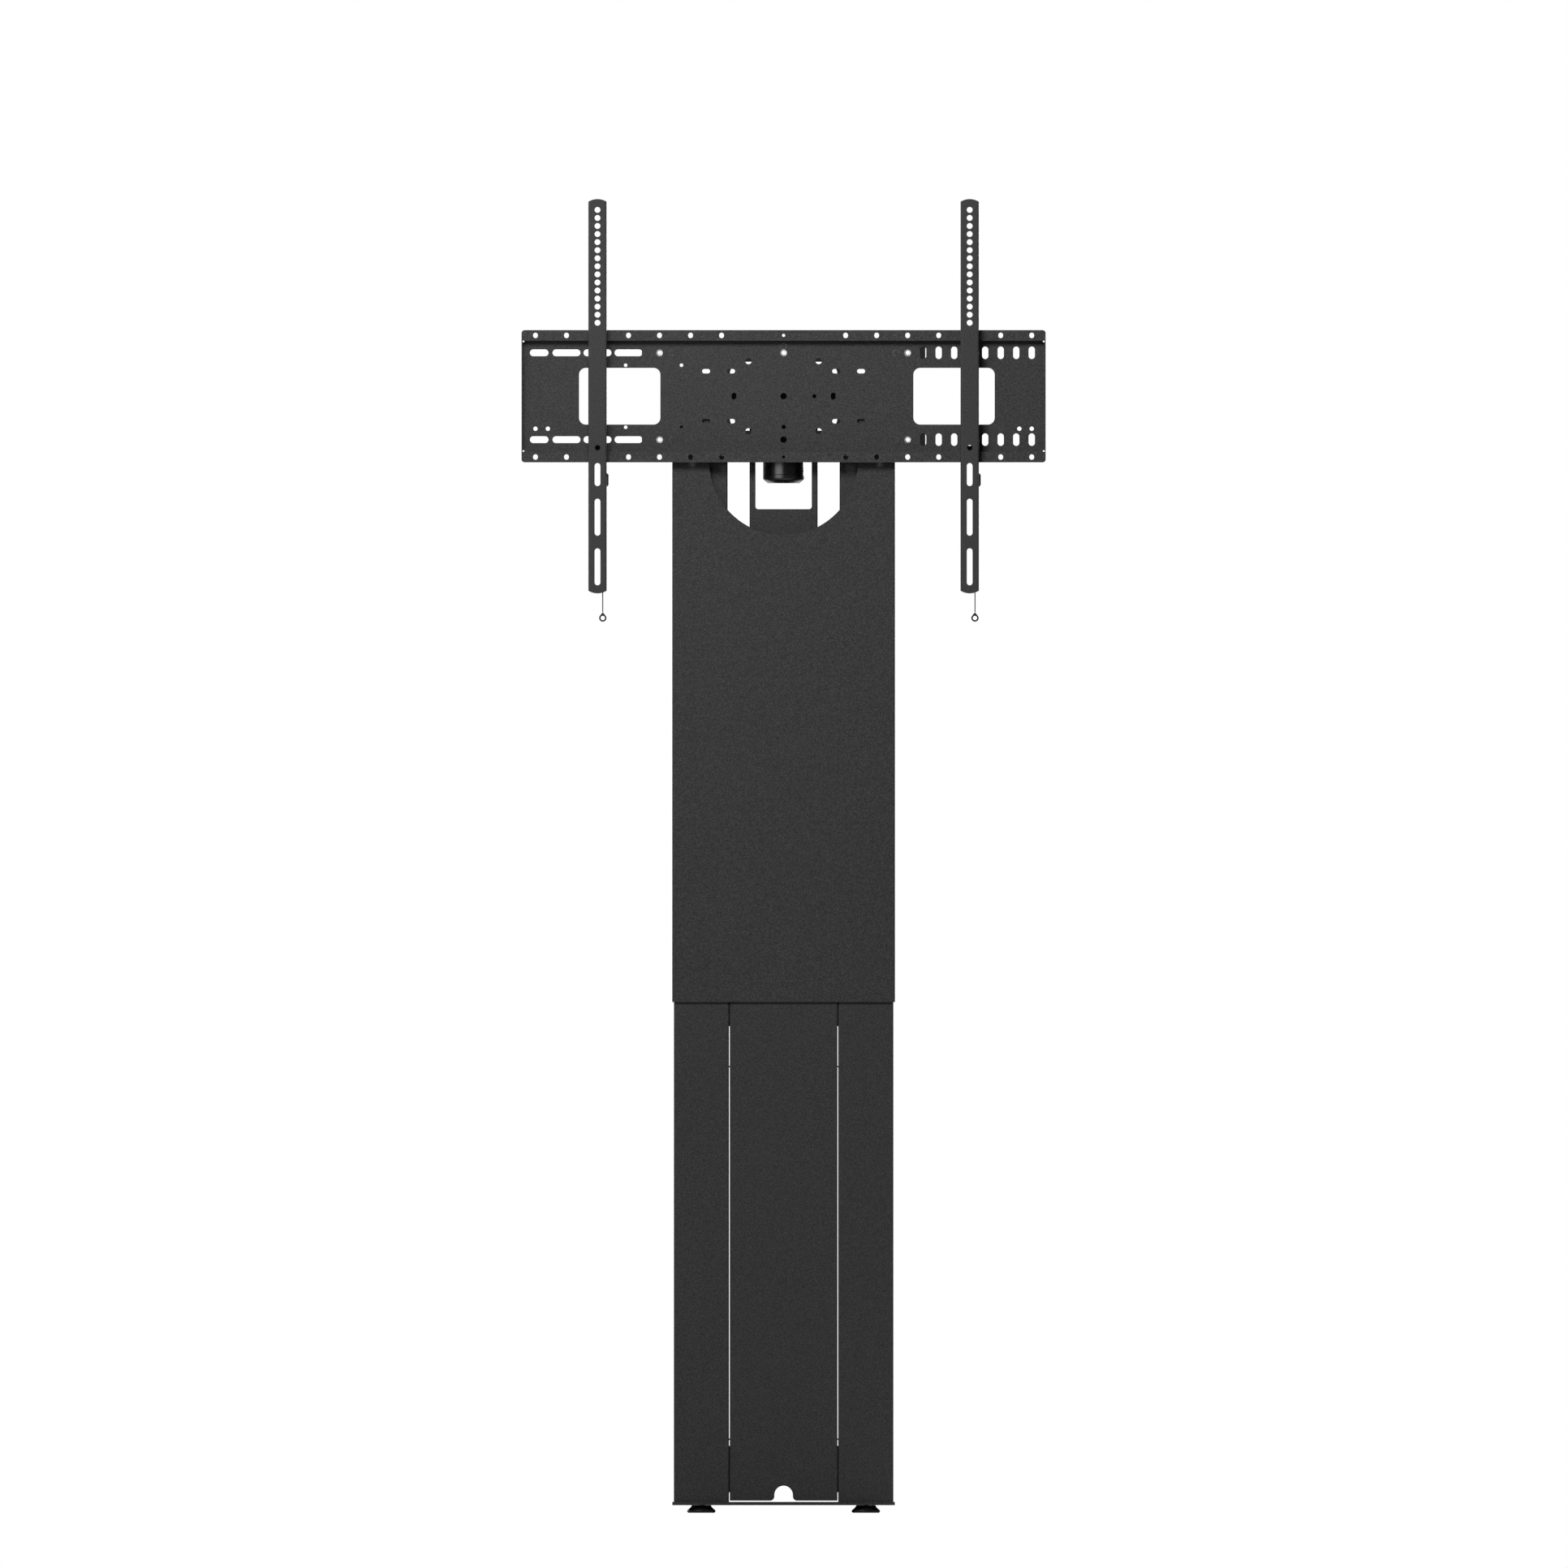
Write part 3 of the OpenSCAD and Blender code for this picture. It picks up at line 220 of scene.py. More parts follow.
def around(rows, sides=48):
    """A grid about Z: each row is (radius, height), and a radius may be an array round the ring."""
    angle = np.linspace(0, 2 * np.pi, sides, endpoint=False)
    grid = np.zeros((len(rows), sides, 3))
    for ring, (radius, height) in zip(grid, rows):
        ring[:, 0] = radius * np.cos(angle)
        ring[:, 1] = radius * np.sin(angle)
        ring[:, 2] = height
    return grid


def looped(grid):
    """Vertices and faces of a ring: a grid whose last row joins its first as well."""
    rows, columns, _ = grid.shape
    index = np.arange(rows * columns).reshape(rows, columns)
    across = np.roll(index, -1, 1)
    quads = np.stack([index, across, np.roll(across, -1, 0), np.roll(index, -1, 0)], -1)
    return grid.reshape(-1, 3), quads.reshape(-1, 4).tolist()


def moved(part, origin, axis=(0, 0, 1)):
    """A (vertices, faces) pair turned from +Z to the axis and set down at the origin."""
    vertices, faces = part
    turn = np.array(mathutils.Vector((0, 0, 1)).rotation_difference(mathutils.Vector(axis)).to_matrix())
    return np.asarray(vertices) @ turn.T + np.asarray(origin), faces


def clean(piece):
    """Merges doubled points, drops faces that shrank to nothing and turns the rest outwards."""
    shape = bmesh.new()
    shape.from_mesh(piece.data)
    bmesh.ops.remove_doubles(shape, verts=shape.verts, dist=2e-6)
    bmesh.ops.dissolve_degenerate(shape, edges=shape.edges, dist=1e-7)
    bmesh.ops.recalc_face_normals(shape, faces=shape.faces)
    shape.to_mesh(piece.data)
    open_edges = sum(not e.is_manifold for e in shape.edges)
    shape.free()
    print(piece.name, len(piece.data.vertices), "vertices,", open_edges, "open edges")
    return piece

# %% [markdown]
# A finish is a small node tree. Each starts from the same few moves: a noise in Object
# coordinates, so that the grain keeps its real size on every piece, a colour ramp or a range
# that turns the noise into a colour or a roughness, and a bump that gives the light something
# to catch. The helpers below make those moves and nothing else.

# %% Node helpers
def new_finish(name, colour, roughness, metallic=0.0, **plain):
    """A material with plain values on its Principled shader; returns it and its shader."""
    material = bpy.data.materials.new(name)
    material.use_nodes = True
    shader = material.node_tree.nodes["Principled BSDF"]
    shader.inputs["Base Color"].default_value = (*colour, 1)
    shader.inputs["Roughness"].default_value = roughness
    shader.inputs["Metallic"].default_value = metallic
    for socket, value in plain.items():
        shader.inputs[socket.replace("_", " ")].default_value = value
    return material, shader


def node(material, kind, sockets=None, **settings):
    """A new node: settings are its own properties, sockets are values or links by input name."""
    made = material.node_tree.nodes.new("ShaderNode" + kind)
    for key, value in settings.items():
        setattr(made, key, value)
    for key, value in (sockets or {}).items():
        if isinstance(value, bpy.types.NodeSocket):
            material.node_tree.links.new(value, made.inputs[key])
        else:
            made.inputs[key].default_value = value
    return made


def place_of(material, stretch=(1, 1, 1)):
    """Object coordinates in metres, scaled along each axis by stretch."""
    sockets = {"Vector": node(material, "TexCoord").outputs["Object"], "Scale": stretch}
    return node(material, "Mapping", sockets).outputs[0]


def noise(material, scale, detail=2.0, stretch=(1, 1, 1)):
    """Noise whose grains are about 1 / scale metres across."""
    sockets = {"Vector": place_of(material, stretch), "Scale": scale, "Detail": detail}
    return node(material, "TexNoise", sockets).outputs["Fac"]


def ranged(material, value, low, high, out_low, out_high):
    """The value carried from low..high to out_low..out_high, and held there outside."""
    sockets = {
        "Value": value, "From Min": low, "From Max": high, "To Min": out_low, "To Max": out_high,
    }
    return node(material, "MapRange", sockets).outputs["Result"]


def ramp(material, value, stops):
    """A colour ramp from (position, colour) stops."""
    made = node(material, "ValToRGB", {"Fac": value})
    elements = made.color_ramp.elements
    while len(elements) < len(stops):
        elements.new(0.5)
    for element, (position, colour) in zip(elements, stops):
        element.position = position
        element.color = (*colour, 1)
    return made.outputs["Color"]


def mixed(material, factor, first, second):
    """A mix of two colours, each a link or three numbers."""
    made = node(material, "Mix", {"Factor": factor}, data_type="RGBA")
    for socket, colour in ((made.inputs[6], first), (made.inputs[7], second)):
        if isinstance(colour, bpy.types.NodeSocket):
            material.node_tree.links.new(colour, socket)
        else:
            socket.default_value = (*colour, 1)
    return made.outputs[2]


def bumped(material, shader, height, depth, strength=1.0, under=None):
    """A bump of the given depth in metres on the shader, over another bump if there is one."""
    sockets = {"Height": height, "Distance": depth, "Strength": strength}
    if under is not None:
        sockets["Normal"] = under
    normal = node(material, "Bump", sockets).outputs["Normal"]
    link(material, normal, shader, "Normal")
    return normal


def link(material, output, shader, socket):
    """Joins a node's output to a named input of the shader."""
    material.node_tree.links.new(output, shader.inputs[socket])


def shaded(colour, factor):
    """A colour made darker or lighter by a factor."""
    return tuple(c * factor for c in colour)


# %% [markdown]
# The whole stand is coated in one charcoal powder. Powder melts into a skin of tiny hills, about
# a millimetre across, with finer grit on top: up close it sparkles, from a step away it is an
# even, soft grey. Two bumps of different size make the skin, and the colour drifts a little from
# grain to grain and, much more slowly, over the whole sheet. The inner frame pieces get a copy
# of the coat darkened to about a third: painted shade, for the deep shade they lie in behind the
# slits and holes in front. The noise scales are in grains per metre.

# %% Powder coat
COAT = (0.0265, 0.0265, 0.0265)
BRACKET_COAT = (0.0285, 0.0285, 0.0285)
# The factor that darkens the inner pieces' coat, as painted shade.
INNER_PAINTED_SHADE = 0.36
FLECKS = 640
HILLS = 900
HILL_DEPTH = 0.25 * MM
GRIT = 2600
GRIT_DEPTH = 0.08 * MM
COAT_BUMP = 0.35


def powder_coat(name, colour):
    """Charcoal powder coat: 1.5 mm flecks and slow clouds in the colour, hills and grit in the bump."""
    material, shader = new_finish(name, colour, 0.46, Specular_IOR_Level=0.16)
    flecks = noise(material, FLECKS)
    clouds = noise(material, 4.0)
    dark, light = shaded(colour, 0.5), shaded(colour, 1.9)
    grain = ramp(material, flecks, [(0.32, dark), (0.5, colour), (0.68, light)])
    slow = ramp(material, clouds, [(0.3, shaded(colour, 0.92)), (0.7, shaded(colour, 1.08))])
    link(material, mixed(material, 0.3, grain, slow), shader, "Base Color")
    link(material, ranged(material, flecks, 0.3, 0.7, 0.38, 0.54), shader, "Roughness")
    hills = bumped(material, shader, noise(material, HILLS, 1.0), HILL_DEPTH, COAT_BUMP)
    bumped(material, shader, noise(material, GRIT), GRIT_DEPTH, COAT_BUMP, under=hills)
    return material


coat = powder_coat("charcoal_coat", COAT)
bracket_coat = powder_coat("bracket_coat", BRACKET_COAT)
# Painted shade: a darkened coat stands in for the shade behind the holes and slits.
inner_coat = powder_coat("inner_coat", shaded(COAT, INNER_PAINTED_SHADE))

# %% [markdown]
# Bare metal is brighter and runs in a direction. Drawn and turned steel has long fine lines that
# go round the part; zinc plate has a soft spangle; bronze is warm and a little stained. The lines
# are a noise drawn out twentyfold: its coordinates are shrunk in X and Y, and kept in Z.

# %% Bare metals
LINES_ROUND = (0.05, 0.05, 1.0)
WORN = 0.85


def drawn_metal(name, colour, roughness):
    """Metal with fine lines round it, in the colour, the roughness and the bump."""
    material, shader = new_finish(name, colour, roughness, metallic=1.0)
    dull = shaded(colour, WORN)
    lines = noise(material, 900, 2.0, LINES_ROUND)
    stains = noise(material, 14, 3.0)
    base = ramp(material, lines, [(0.3, dull), (0.7, colour)])
    stained = ramp(material, stains, [(0.35, dull), (0.65, colour)])
    link(material, mixed(material, 0.4, base, stained), shader, "Base Color")
    gloss = ranged(material, stains, 0.3, 0.7, roughness - 0.06, roughness + 0.1)
    link(material, gloss, shader, "Roughness")
    bumped(material, shader, lines, 0.04 * MM, 0.3)
    return material


steel = drawn_metal("drawn_steel", (0.46, 0.46, 0.47), 0.28)
pulley_metal = drawn_metal("turned_aluminium", (0.62, 0.63, 0.64), 0.24)
bronze = drawn_metal("turned_bronze", (0.50, 0.33, 0.14), 0.34)


def zinc_plate(name):
    """Bright zinc: small spangles from a Voronoi pattern shift the brightness and the gloss."""
    colour = (0.80, 0.81, 0.82)
    material, shader = new_finish(name, colour, 0.36, metallic=1.0)
    sockets = {"Vector": place_of(material), "Scale": 420}
    spangle = node(material, "TexVoronoi", sockets).outputs["Distance"]
    tone = ramp(material, spangle, [(0.1, shaded(colour, 0.86)), (0.7, colour)])
    link(material, tone, shader, "Base Color")
    link(material, ranged(material, spangle, 0.1, 0.7, 0.3, 0.44), shader, "Roughness")
    bumped(material, shader, noise(material, 1400), 0.03 * MM, 0.3)
    return material


zinc = zinc_plate("zinc_plate")

# %% [markdown]
# The rest is moulded: feet, glides, box and latches in plastic, belts in rubber, and the motor's
# can in gloss enamel. Moulded plastic has a spark-eroded grain; enamel is smooth, with only the
# slow ripple that sprayed paint keeps.

# %% Plastics, rubber and enamel
def moulded(name, colour, roughness, grain=1600, depth=0.06 * MM, level=0.5):
    """Moulded plastic or rubber: an even colour with a fine eroded grain."""
    material, shader = new_finish(name, colour, roughness, Specular_IOR_Level=level)
    spots = noise(material, grain, 3.0)
    slow = noise(material, 18)
    tone = ramp(material, slow, [(0.3, shaded(colour, 0.88)), (0.7, shaded(colour, 1.12))])
    link(material, tone, shader, "Base Color")
    gloss = ranged(material, spots, 0.3, 0.7, roughness - 0.07, roughness + 0.07)
    link(material, gloss, shader, "Roughness")
    bumped(material, shader, spots, depth, 0.4)
    return material


foot_plastic = moulded("foot_plastic", (0.006, 0.006, 0.006), 0.36, level=0.35)
nylon = moulded("natural_nylon", (0.66, 0.64, 0.58), 0.42)
box_plastic = moulded("box_plastic", (0.018, 0.018, 0.019), 0.5)
latch_plastic = moulded("latch_plastic", (0.012, 0.012, 0.013), 0.42)
belt_rubber = moulded("belt_rubber", (0.016, 0.016, 0.016), 0.68, grain=2400, depth=0.08 * MM)
cord_finish = moulded("cord_plastic", (0.016, 0.016, 0.016), 0.5, grain=3000, level=0.3)
bolt_black = moulded("black_oxide", (0.016, 0.016, 0.017), 0.36, 2600, 0.03 * MM, level=0.8)


def enamel(name):
    """Gloss black enamel: a clear coat over black, with a slow ripple in the bump."""
    black = (0.006, 0.006, 0.006)
    material, shader = new_finish(name, black, 0.3, Coat_Weight=0.7, Coat_Roughness=0.26)
    gloss = ranged(material, noise(material, 60), 0.3, 0.7, 0.24, 0.34)
    link(material, gloss, shader, "Roughness")
    bumped(material, shader, noise(material, 90, 1.0), 0.06 * MM, 0.1)
    return material


motor_enamel = enamel("motor_enamel")
print("finishes:", ", ".join(material.name for material in bpy.data.materials))

# %% [markdown]
# The frame already knows which finish each node takes: the record names a material slot for
# every one. One table joins those slots to the materials above. The nodes keep their places and
# their meshes, and even the ones that are dressed further down start from here.

# %% Finishes on the frame
FINISH = {
    "coat": coat, "bracket_coat": bracket_coat, "foot_plastic": foot_plastic, "zinc": zinc,
    "pulley": pulley_metal, "steel": steel, "bronze": bronze, "nylon": nylon,
    "bolt_black": bolt_black, "motor_gloss": motor_enamel, "box_plastic": box_plastic,
    "belt": belt_rubber, "latch_black": latch_plastic, "cord": cord_finish,
}
slot_of = {part["node"]: part["material_slot"] for part in frame["record"]["subparts"]}
for name, piece in nodes.items():
    piece.data.materials.clear()
    piece.data.materials.append(FINISH[slot_of[name]])
print(len(nodes), "nodes finished")

# %% [markdown]
# Every finished piece rides on a body, takes a material, and hides the plain nodes of the frame
# that it stands for. One helper does all of that, and shades it: smooth, but with its edges kept
# sharp where two faces meet steeply. It is also handed the piece's material slot, which it does not
# use.

# %% Riding, slots and shading
def place(piece, body, slot, *replaced, material=None, smooth=40):
    """Rides a piece on its body, gives it its material, hides the nodes it stands for, and shades it.
    The slot is not used.
    """
    if material is not None:
        piece.data.materials.clear()
        piece.data.materials.append(material)
    shade(piece, smooth)
    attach(piece, body)
    if replaced:
        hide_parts(*replaced)
    return piece


def shade(piece, angle):
    """Smooth shading, kept sharp where two faces meet at more than the angle in degrees, if any."""
    mesh = piece.data
    mesh.polygons.foreach_set("use_smooth", np.ones(len(mesh.polygons), bool))
    if angle is not None:
        mesh.set_sharp_from_angle(angle=math.radians(angle))


# %% [markdown]
# Bent sheet is never razor sharp. The punch leaves a small round on every hole, the bend leaves
# a larger one, and powder fills both a little more. The frame's meshes are loose triangles with
# hard corners, so each sheet is copied, its doubled points are merged, its flat faces are made
# whole again, and a Bevel modifier eases what is left sharp. Weighted normals then keep the
# flats flat while the bends shade as one smooth curve. Light catching those edges is what tells
# the eye that this is folded steel and not a drawing of it.

# %% Eased copies of the frame's pieces
def body_of(name):
    """The body that a frame node rides on; the empty above it carries the name."""
    return nodes[name].parent.name.split(":", 1)[1]


def merged(name):
    """A bmesh of a frame node with its loose triangles joined."""
    shape = bmesh.new()
    shape.from_mesh(nodes[name].data)
    bmesh.ops.remove_doubles(shape, verts=shape.verts, dist=1e-6)
    return shape


FLAT_ANGLE = math.radians(0.3)
SHARP_ANGLE = math.radians(35)


def eased(name, edge):
    """A copy of a frame node whose sharp edges are rounded off by edge, in metres."""
    shape = merged(name)
    bmesh.ops.dissolve_limit(shape, angle_limit=FLAT_ANGLE, verts=shape.verts, edges=shape.edges)
    mesh = bpy.data.meshes.new(name + "_eased")
    shape.to_mesh(mesh)
    shape.free()
    piece = bpy.data.objects.new(name + "_eased", mesh)
    bpy.context.scene.collection.objects.link(piece)
    bevel = piece.modifiers.new("eased_edges", "BEVEL")
    bevel.width = edge
    bevel.segments = 2
    bevel.limit_method = "ANGLE"
    bevel.angle_limit = SHARP_ANGLE
    weighted = piece.modifiers.new("flat_faces", "WEIGHTED_NORMAL")
    weighted.keep_sharp = True
    slot = slot_of[name]
    return place(piece, body_of(name), slot, name, material=FINISH[slot], smooth=None)


SHEET_EDGE = 0.35 * MM
BLOCK_EDGE = 0.8 * MM
SHEETS = [
    "base_plate", "left_casing", "right_casing", "lower_cross_member", "upper_cross_member",
    "lower_wall_bracket", "upper_wall_bracket", "front_door", "left_mast", "right_mast",
    "head_beam", "drive_lid", "adapter_plate", "bracket_plate", "motor_cradle", "upper_cover",
    "lower_cover", "splice_strip", "cover_spacers", "left_arm", "right_arm",
]
BLOCKS = ["casing_glides", "mast_glides", "stand_offs", "left_latch", "right_latch",
          "left_support_tube", "right_support_tube", "spindle_bearings"]
sheets = {name: eased(name, SHEET_EDGE) for name in SHEETS}
# Painted shade: the adapter plate and the cross members take the darkened coat.
for name in ("adapter_plate", "lower_cross_member", "upper_cross_member"):
    sheets[name].data.materials[0] = inner_coat
for name in BLOCKS:
    eased(name, BLOCK_EDGE if "latch" not in name else SHEET_EDGE)
print(len(SHEETS) + len(BLOCKS), "pieces eased")

# %% [markdown]
# At the bottom of the bracket's middle line one hole goes right through to the black motor behind
# it, so it looks like a dark spot. The bracket has the hole already, and the adapter plate that
# lies against its back is bored here to match: a cylinder is subtracted from it, and then removed.

# %% Hole through to the motor
HOLE_R = 5.25 * MM
HOLE_DROP = 70 * MM
DRILL_REACH = 5 * MM


def drilled(piece, radius, at):
    """Bores a round hole along Y: the Boolean is applied first of all the piece's modifiers."""
    rows = [(radius, -DRILL_REACH), (radius, DRILL_REACH)]
    drill = new_object("drill", *moved(capped(around(rows, 48)), at, (0, -1, 0)))
    bore = piece.modifiers.new("bore", "BOOLEAN")
    bore.object = drill
    piece.modifiers.move(len(piece.modifiers) - 1, 0)
    bpy.context.view_layer.objects.active = piece
    bpy.ops.object.modifier_apply(modifier="bore")
    bpy.data.objects.remove(drill)


adapter = sheets["adapter_plate"]
faces_before = len(adapter.data.polygons)
drilled(adapter, HOLE_R, (0, middle("adapter_plate")[1], DISPLAY_Z - HOLE_DROP))
print("adapter plate:", faces_before, "faces, with the hole", len(adapter.data.polygons))

# %% [markdown]
# The pull ring is a flat drop. Its inside is a circle; its outside is the same circle as far as
# the two tangents that meet above it. Along a tangent the radius is that of a straight line,
# r / cos(angle from the tangent point). A squared-off oval section rounds the moulding's edges.

# %% Pull rings
RING_OUTER = 6 * MM
RING_INNER = 3.4 * MM
RING_T = 2.2 * MM
RING_NECK = 9.5 * MM
RING_SOFTNESS = 0.7
RING_SIDES = 96
RING_SECTION = 20


def drop_ring():
    """A looped grid: the outside runs up the tangents to the neck, the section is a soft square."""
    angle = np.linspace(0, 2 * np.pi, RING_SIDES, endpoint=False)
    from_neck = np.abs((angle - 1.5 * np.pi + np.pi) % (2 * np.pi) - np.pi)
    touch = math.acos(RING_OUTER / RING_NECK)
    outer = np.where(from_neck < touch, RING_OUTER / np.cos(touch - from_neck), RING_OUTER)
    centre, half = (outer + RING_INNER) / 2, (outer - RING_INNER) / 2
    turn = np.linspace(0, 2 * np.pi, RING_SECTION, endpoint=False)
    across = np.sign(np.cos(turn)) * np.abs(np.cos(turn)) ** RING_SOFTNESS
    up = np.sign(np.sin(turn)) * np.abs(np.sin(turn)) ** RING_SOFTNESS
    rows = [(centre + half * a, RING_T / 2 * u) for a, u in zip(across, up)]
    return looped(around(rows, RING_SIDES))


for side_name in ("left", "right"):
    name = side_name + "_pull_ring"
    x, y, _ = middle(name)
    ring_part = moved(drop_ring(), (x, y, corners(name)[0][2] + RING_OUTER), (0, 1, 0))
    ring = clean(new_object(side_name + "_drop_ring", *ring_part))
    place(ring, body_of(name), "cord", name, material=cord_finish, smooth=60)

# %% [markdown]
# The cords were built first, and now they get their finish and ride on the catch of their latch.

for piece, path, side_name in cords:
    name = side_name + "_pull_cord"
    place(piece, side_name + "_catch", "cord", name, material=cord_finish)

# %% [markdown]
# The stand rests on four levelling feet. Each pad is a moulded cone with a fat rounded rim, so
# that it slides over carpet and doesn't cut in. In the photo the rim is the widest part, with
# one soft highlight. The curve between rim and top is drawn a little hollow. The top all but
# touches the base plate: the frame leaves 0.3 mm there, through which white would shine.

# %% Foot pads
FEET = ["front_left", "front_right", "rear_left", "rear_right"]
stud_low, stud_high = corners("stud_front_left")
STUD_R = (stud_high[0] - stud_low[0]) / 2
foot_low, foot_high = corners("foot_front_left")
PAD_R = (foot_high[0] - foot_low[0]) / 2
PAD_LIFT = 0.25 * MM
PAD_H = foot_high[2] + PAD_LIFT
PAD_TOP_R = 15.2 * MM
PAD_EASE = 0.3 * MM
CONE_DROP = 0.35 * MM
RIM_R = 2.8 * MM
RIM_END = 62
HOLLOW = 0.35 * MM


def arc(cx, cy, r, start, end, steps=6):
    """Points of an arc from start to end degrees, as (x, y) pairs."""
    angle = np.radians(np.linspace(start, end, steps))
    return np.stack([cx + r * np.cos(angle), cy + r * np.sin(angle)], -1).tolist()


def foot_pad():
    """Flat sole, a round rim of RIM_R up to RIM_END degrees, a hollow cone, a socket for the stud."""
    rim = arc(PAD_R - RIM_R, RIM_R, RIM_R, -90, RIM_END, 12)
    start, end = np.array(rim[-1]), np.array([PAD_TOP_R + PAD_EASE, PAD_H - CONE_DROP])
    t = np.linspace(0, 1, 9)[1:, None]
    cone = start + (end - start) * t - HOLLOW * np.sin(np.pi * t)
    top = arc(PAD_TOP_R, PAD_H - PAD_EASE, PAD_EASE, 20, 90, 4)
    socket = [(STUD_R, PAD_H), (STUD_R, stud_low[2])]
    return capped(around(rim + cone.tolist() + top + socket, 72))


for foot in FEET:
    name = "foot_" + foot
    x, y, _ = middle(name)
    pad = new_object("pad_" + foot, *moved(foot_pad(), (x, y, 0)))
    place(pad, body_of(name), "foot_plastic", name, material=foot_plastic, smooth=50)
print("pads:", len(pad.data.vertices), "vertices each")

# %% [markdown]
# A thread is a profile carried along a helix. Here the grid itself is skewed: every row of points
# climbs by one lead as it goes round, so crests and roots run exactly along the rows and stay
# crisp with only four rows to a pitch. The seam joins each row to the one a lead further up.
# Points past either end are pressed onto the end plane at the root radius, which closes the rod.

# %% Threads
def thread(low, high, root, crest, pitch, starts=1, sides=30, shape=(0.0, 0.36, 0.5, 0.86)):
    """A closed threaded rod about Z: height = row + lead * angle / turn. The shape gives the places
    in a pitch, from 0 to 1, at which the root begins and ends and the crest begins and ends."""
    lead = pitch * starts
    first = math.floor((low - lead) / pitch)
    last = math.ceil((high + pitch) / pitch)
    base = (np.arange(first, last)[:, None] + np.array(shape)) * pitch
    radius = np.broadcast_to(np.array([root, root, crest, crest]), base.shape).reshape(-1)
    turn = np.linspace(0, 1, sides + 1)
    height = base.reshape(-1)[:, None] + lead * turn[None]
    radius = np.broadcast_to(radius[:, None], height.shape).copy()
    radius[(height <= low) | (height >= high)] = root
    height = np.clip(height, low, high)
    grid = np.stack([radius * np.cos(2 * np.pi * turn), radius * np.sin(2 * np.pi * turn), height], -1)
    rows, columns = height.shape
    vertices = np.concatenate([grid.reshape(-1, 3), [[0, 0, low], [0, 0, high]]])
    faces = grid_faces(rows, columns, wrap_columns=False)
    ring = np.arange(columns - 1)
    top = (rows - 1) * columns + ring
    low_point = np.full(columns - 1, len(vertices) - 2)
    faces += np.stack([ring + 1, ring, low_point], -1).tolist()
    faces += np.stack([top, top + 1, low_point + 1], -1).tolist()
    return vertices, faces


STUD_PITCH = 1.5 * MM
THREAD_DEPTH = 0.85 * MM
STUD_SHAPE = (0.0, 0.1, 0.46, 0.58)
for foot in FEET:
    name = "stud_" + foot
    x, y, _ = middle(name)
    rod = thread(0, stud_high[2] - stud_low[2], STUD_R - THREAD_DEPTH, STUD_R, STUD_PITCH,
                 sides=24, shape=STUD_SHAPE)
    stud = clean(new_object("thread_" + foot, *moved(rod, (x, y, stud_low[2]))))
    place(stud, body_of(name), "zinc", name, material=zinc, smooth=30)

# %% [markdown]
# A lock nut on each stud clamps the base plate. Its corners are turned off at 30 degrees, top
# and bottom: where the hexagon reaches past the chamfer circle, the face falls away.

# %% Lock nuts
NUT_FLAT = 17 * MM
NUT_CHAMFER = 0.577
CHAMFER_CIRCLE = 0.97
THREAD_GAP = 0.05 * MM


def join(parts):
    """One (vertices, faces) pair from several."""
    vertices, faces, start = [], [], 0
    for part_vertices, part_faces in parts:
        vertices.append(np.asarray(part_vertices))
        faces += [[start + i for i in face] for face in part_faces]
        start += len(part_vertices)
    return np.concatenate(vertices), faces


def polygon_radius(flats, apothem, sides):
    """Radius of a regular polygon at each angle: the apothem over the cosine to the nearest flat."""
    angle = np.linspace(0, 2 * np.pi, sides, endpoint=False)
    step = 2 * np.pi / flats
    return apothem / np.cos((angle + step / 2) % step - step / 2)


def hex_nut(height, bore):
    """A hexagonal ring: past the chamfer circle, each face drops by tan 30 times the overshoot."""
    sides = 72
    hexagon = polygon_radius(6, NUT_FLAT / 2, sides)
    circle = NUT_FLAT / 2 * CHAMFER_CIRCLE
    fall = NUT_CHAMFER * np.maximum(hexagon - circle, 0)
    lip = 0.7 * MM
    rows = [
        (bore, lip), (bore + lip, 0), (circle, 0), (hexagon, fall), (hexagon, height - fall),
        (circle, height), (bore + lip, height), (bore, height - lip),
    ]
    return looped(around(rows, sides))


nut_low, nut_high = corners("foot_nuts")
nuts = []
for foot in FEET:
    x, y, _ = middle("stud_" + foot)
    nut = hex_nut(nut_high[2] - nut_low[2], STUD_R + THREAD_GAP)
    nuts.append(moved(nut, (x, y, nut_low[2])))
lock_nuts = clean(new_object("lock_nuts", *join(nuts)))
place(lock_nuts, body_of("foot_nuts"), "zinc", "foot_nuts", material=zinc, smooth=35)

# %% [markdown]
# Two spindles lift the display. Each is a rod with a four-start trapezoid thread: the thread
# repeats every 5 mm, but one turn lifts 20 mm, which is how a slow motor gives a quick lift. The
# nut, of bronze, sits still on its support tube while the spindle turns in it.

# %% Spindles
SPINDLE_PITCH = 5 * MM
SPINDLE_STARTS = 4
SPINDLE_DEPTH = 2.2 * MM
SPINDLE_R = 8 * MM
NECK = 12 * MM
NECK_TAPER = 1.2 * MM
COLLAR_H = 9 * MM
COLLAR_DROP = 4.3 * MM
spindle_low, spindle_high = corners("left_spindle")
collar_r = (spindle_high[0] - spindle_low[0]) / 2
collar_top = corners("head_beam")[0][2] - COLLAR_DROP


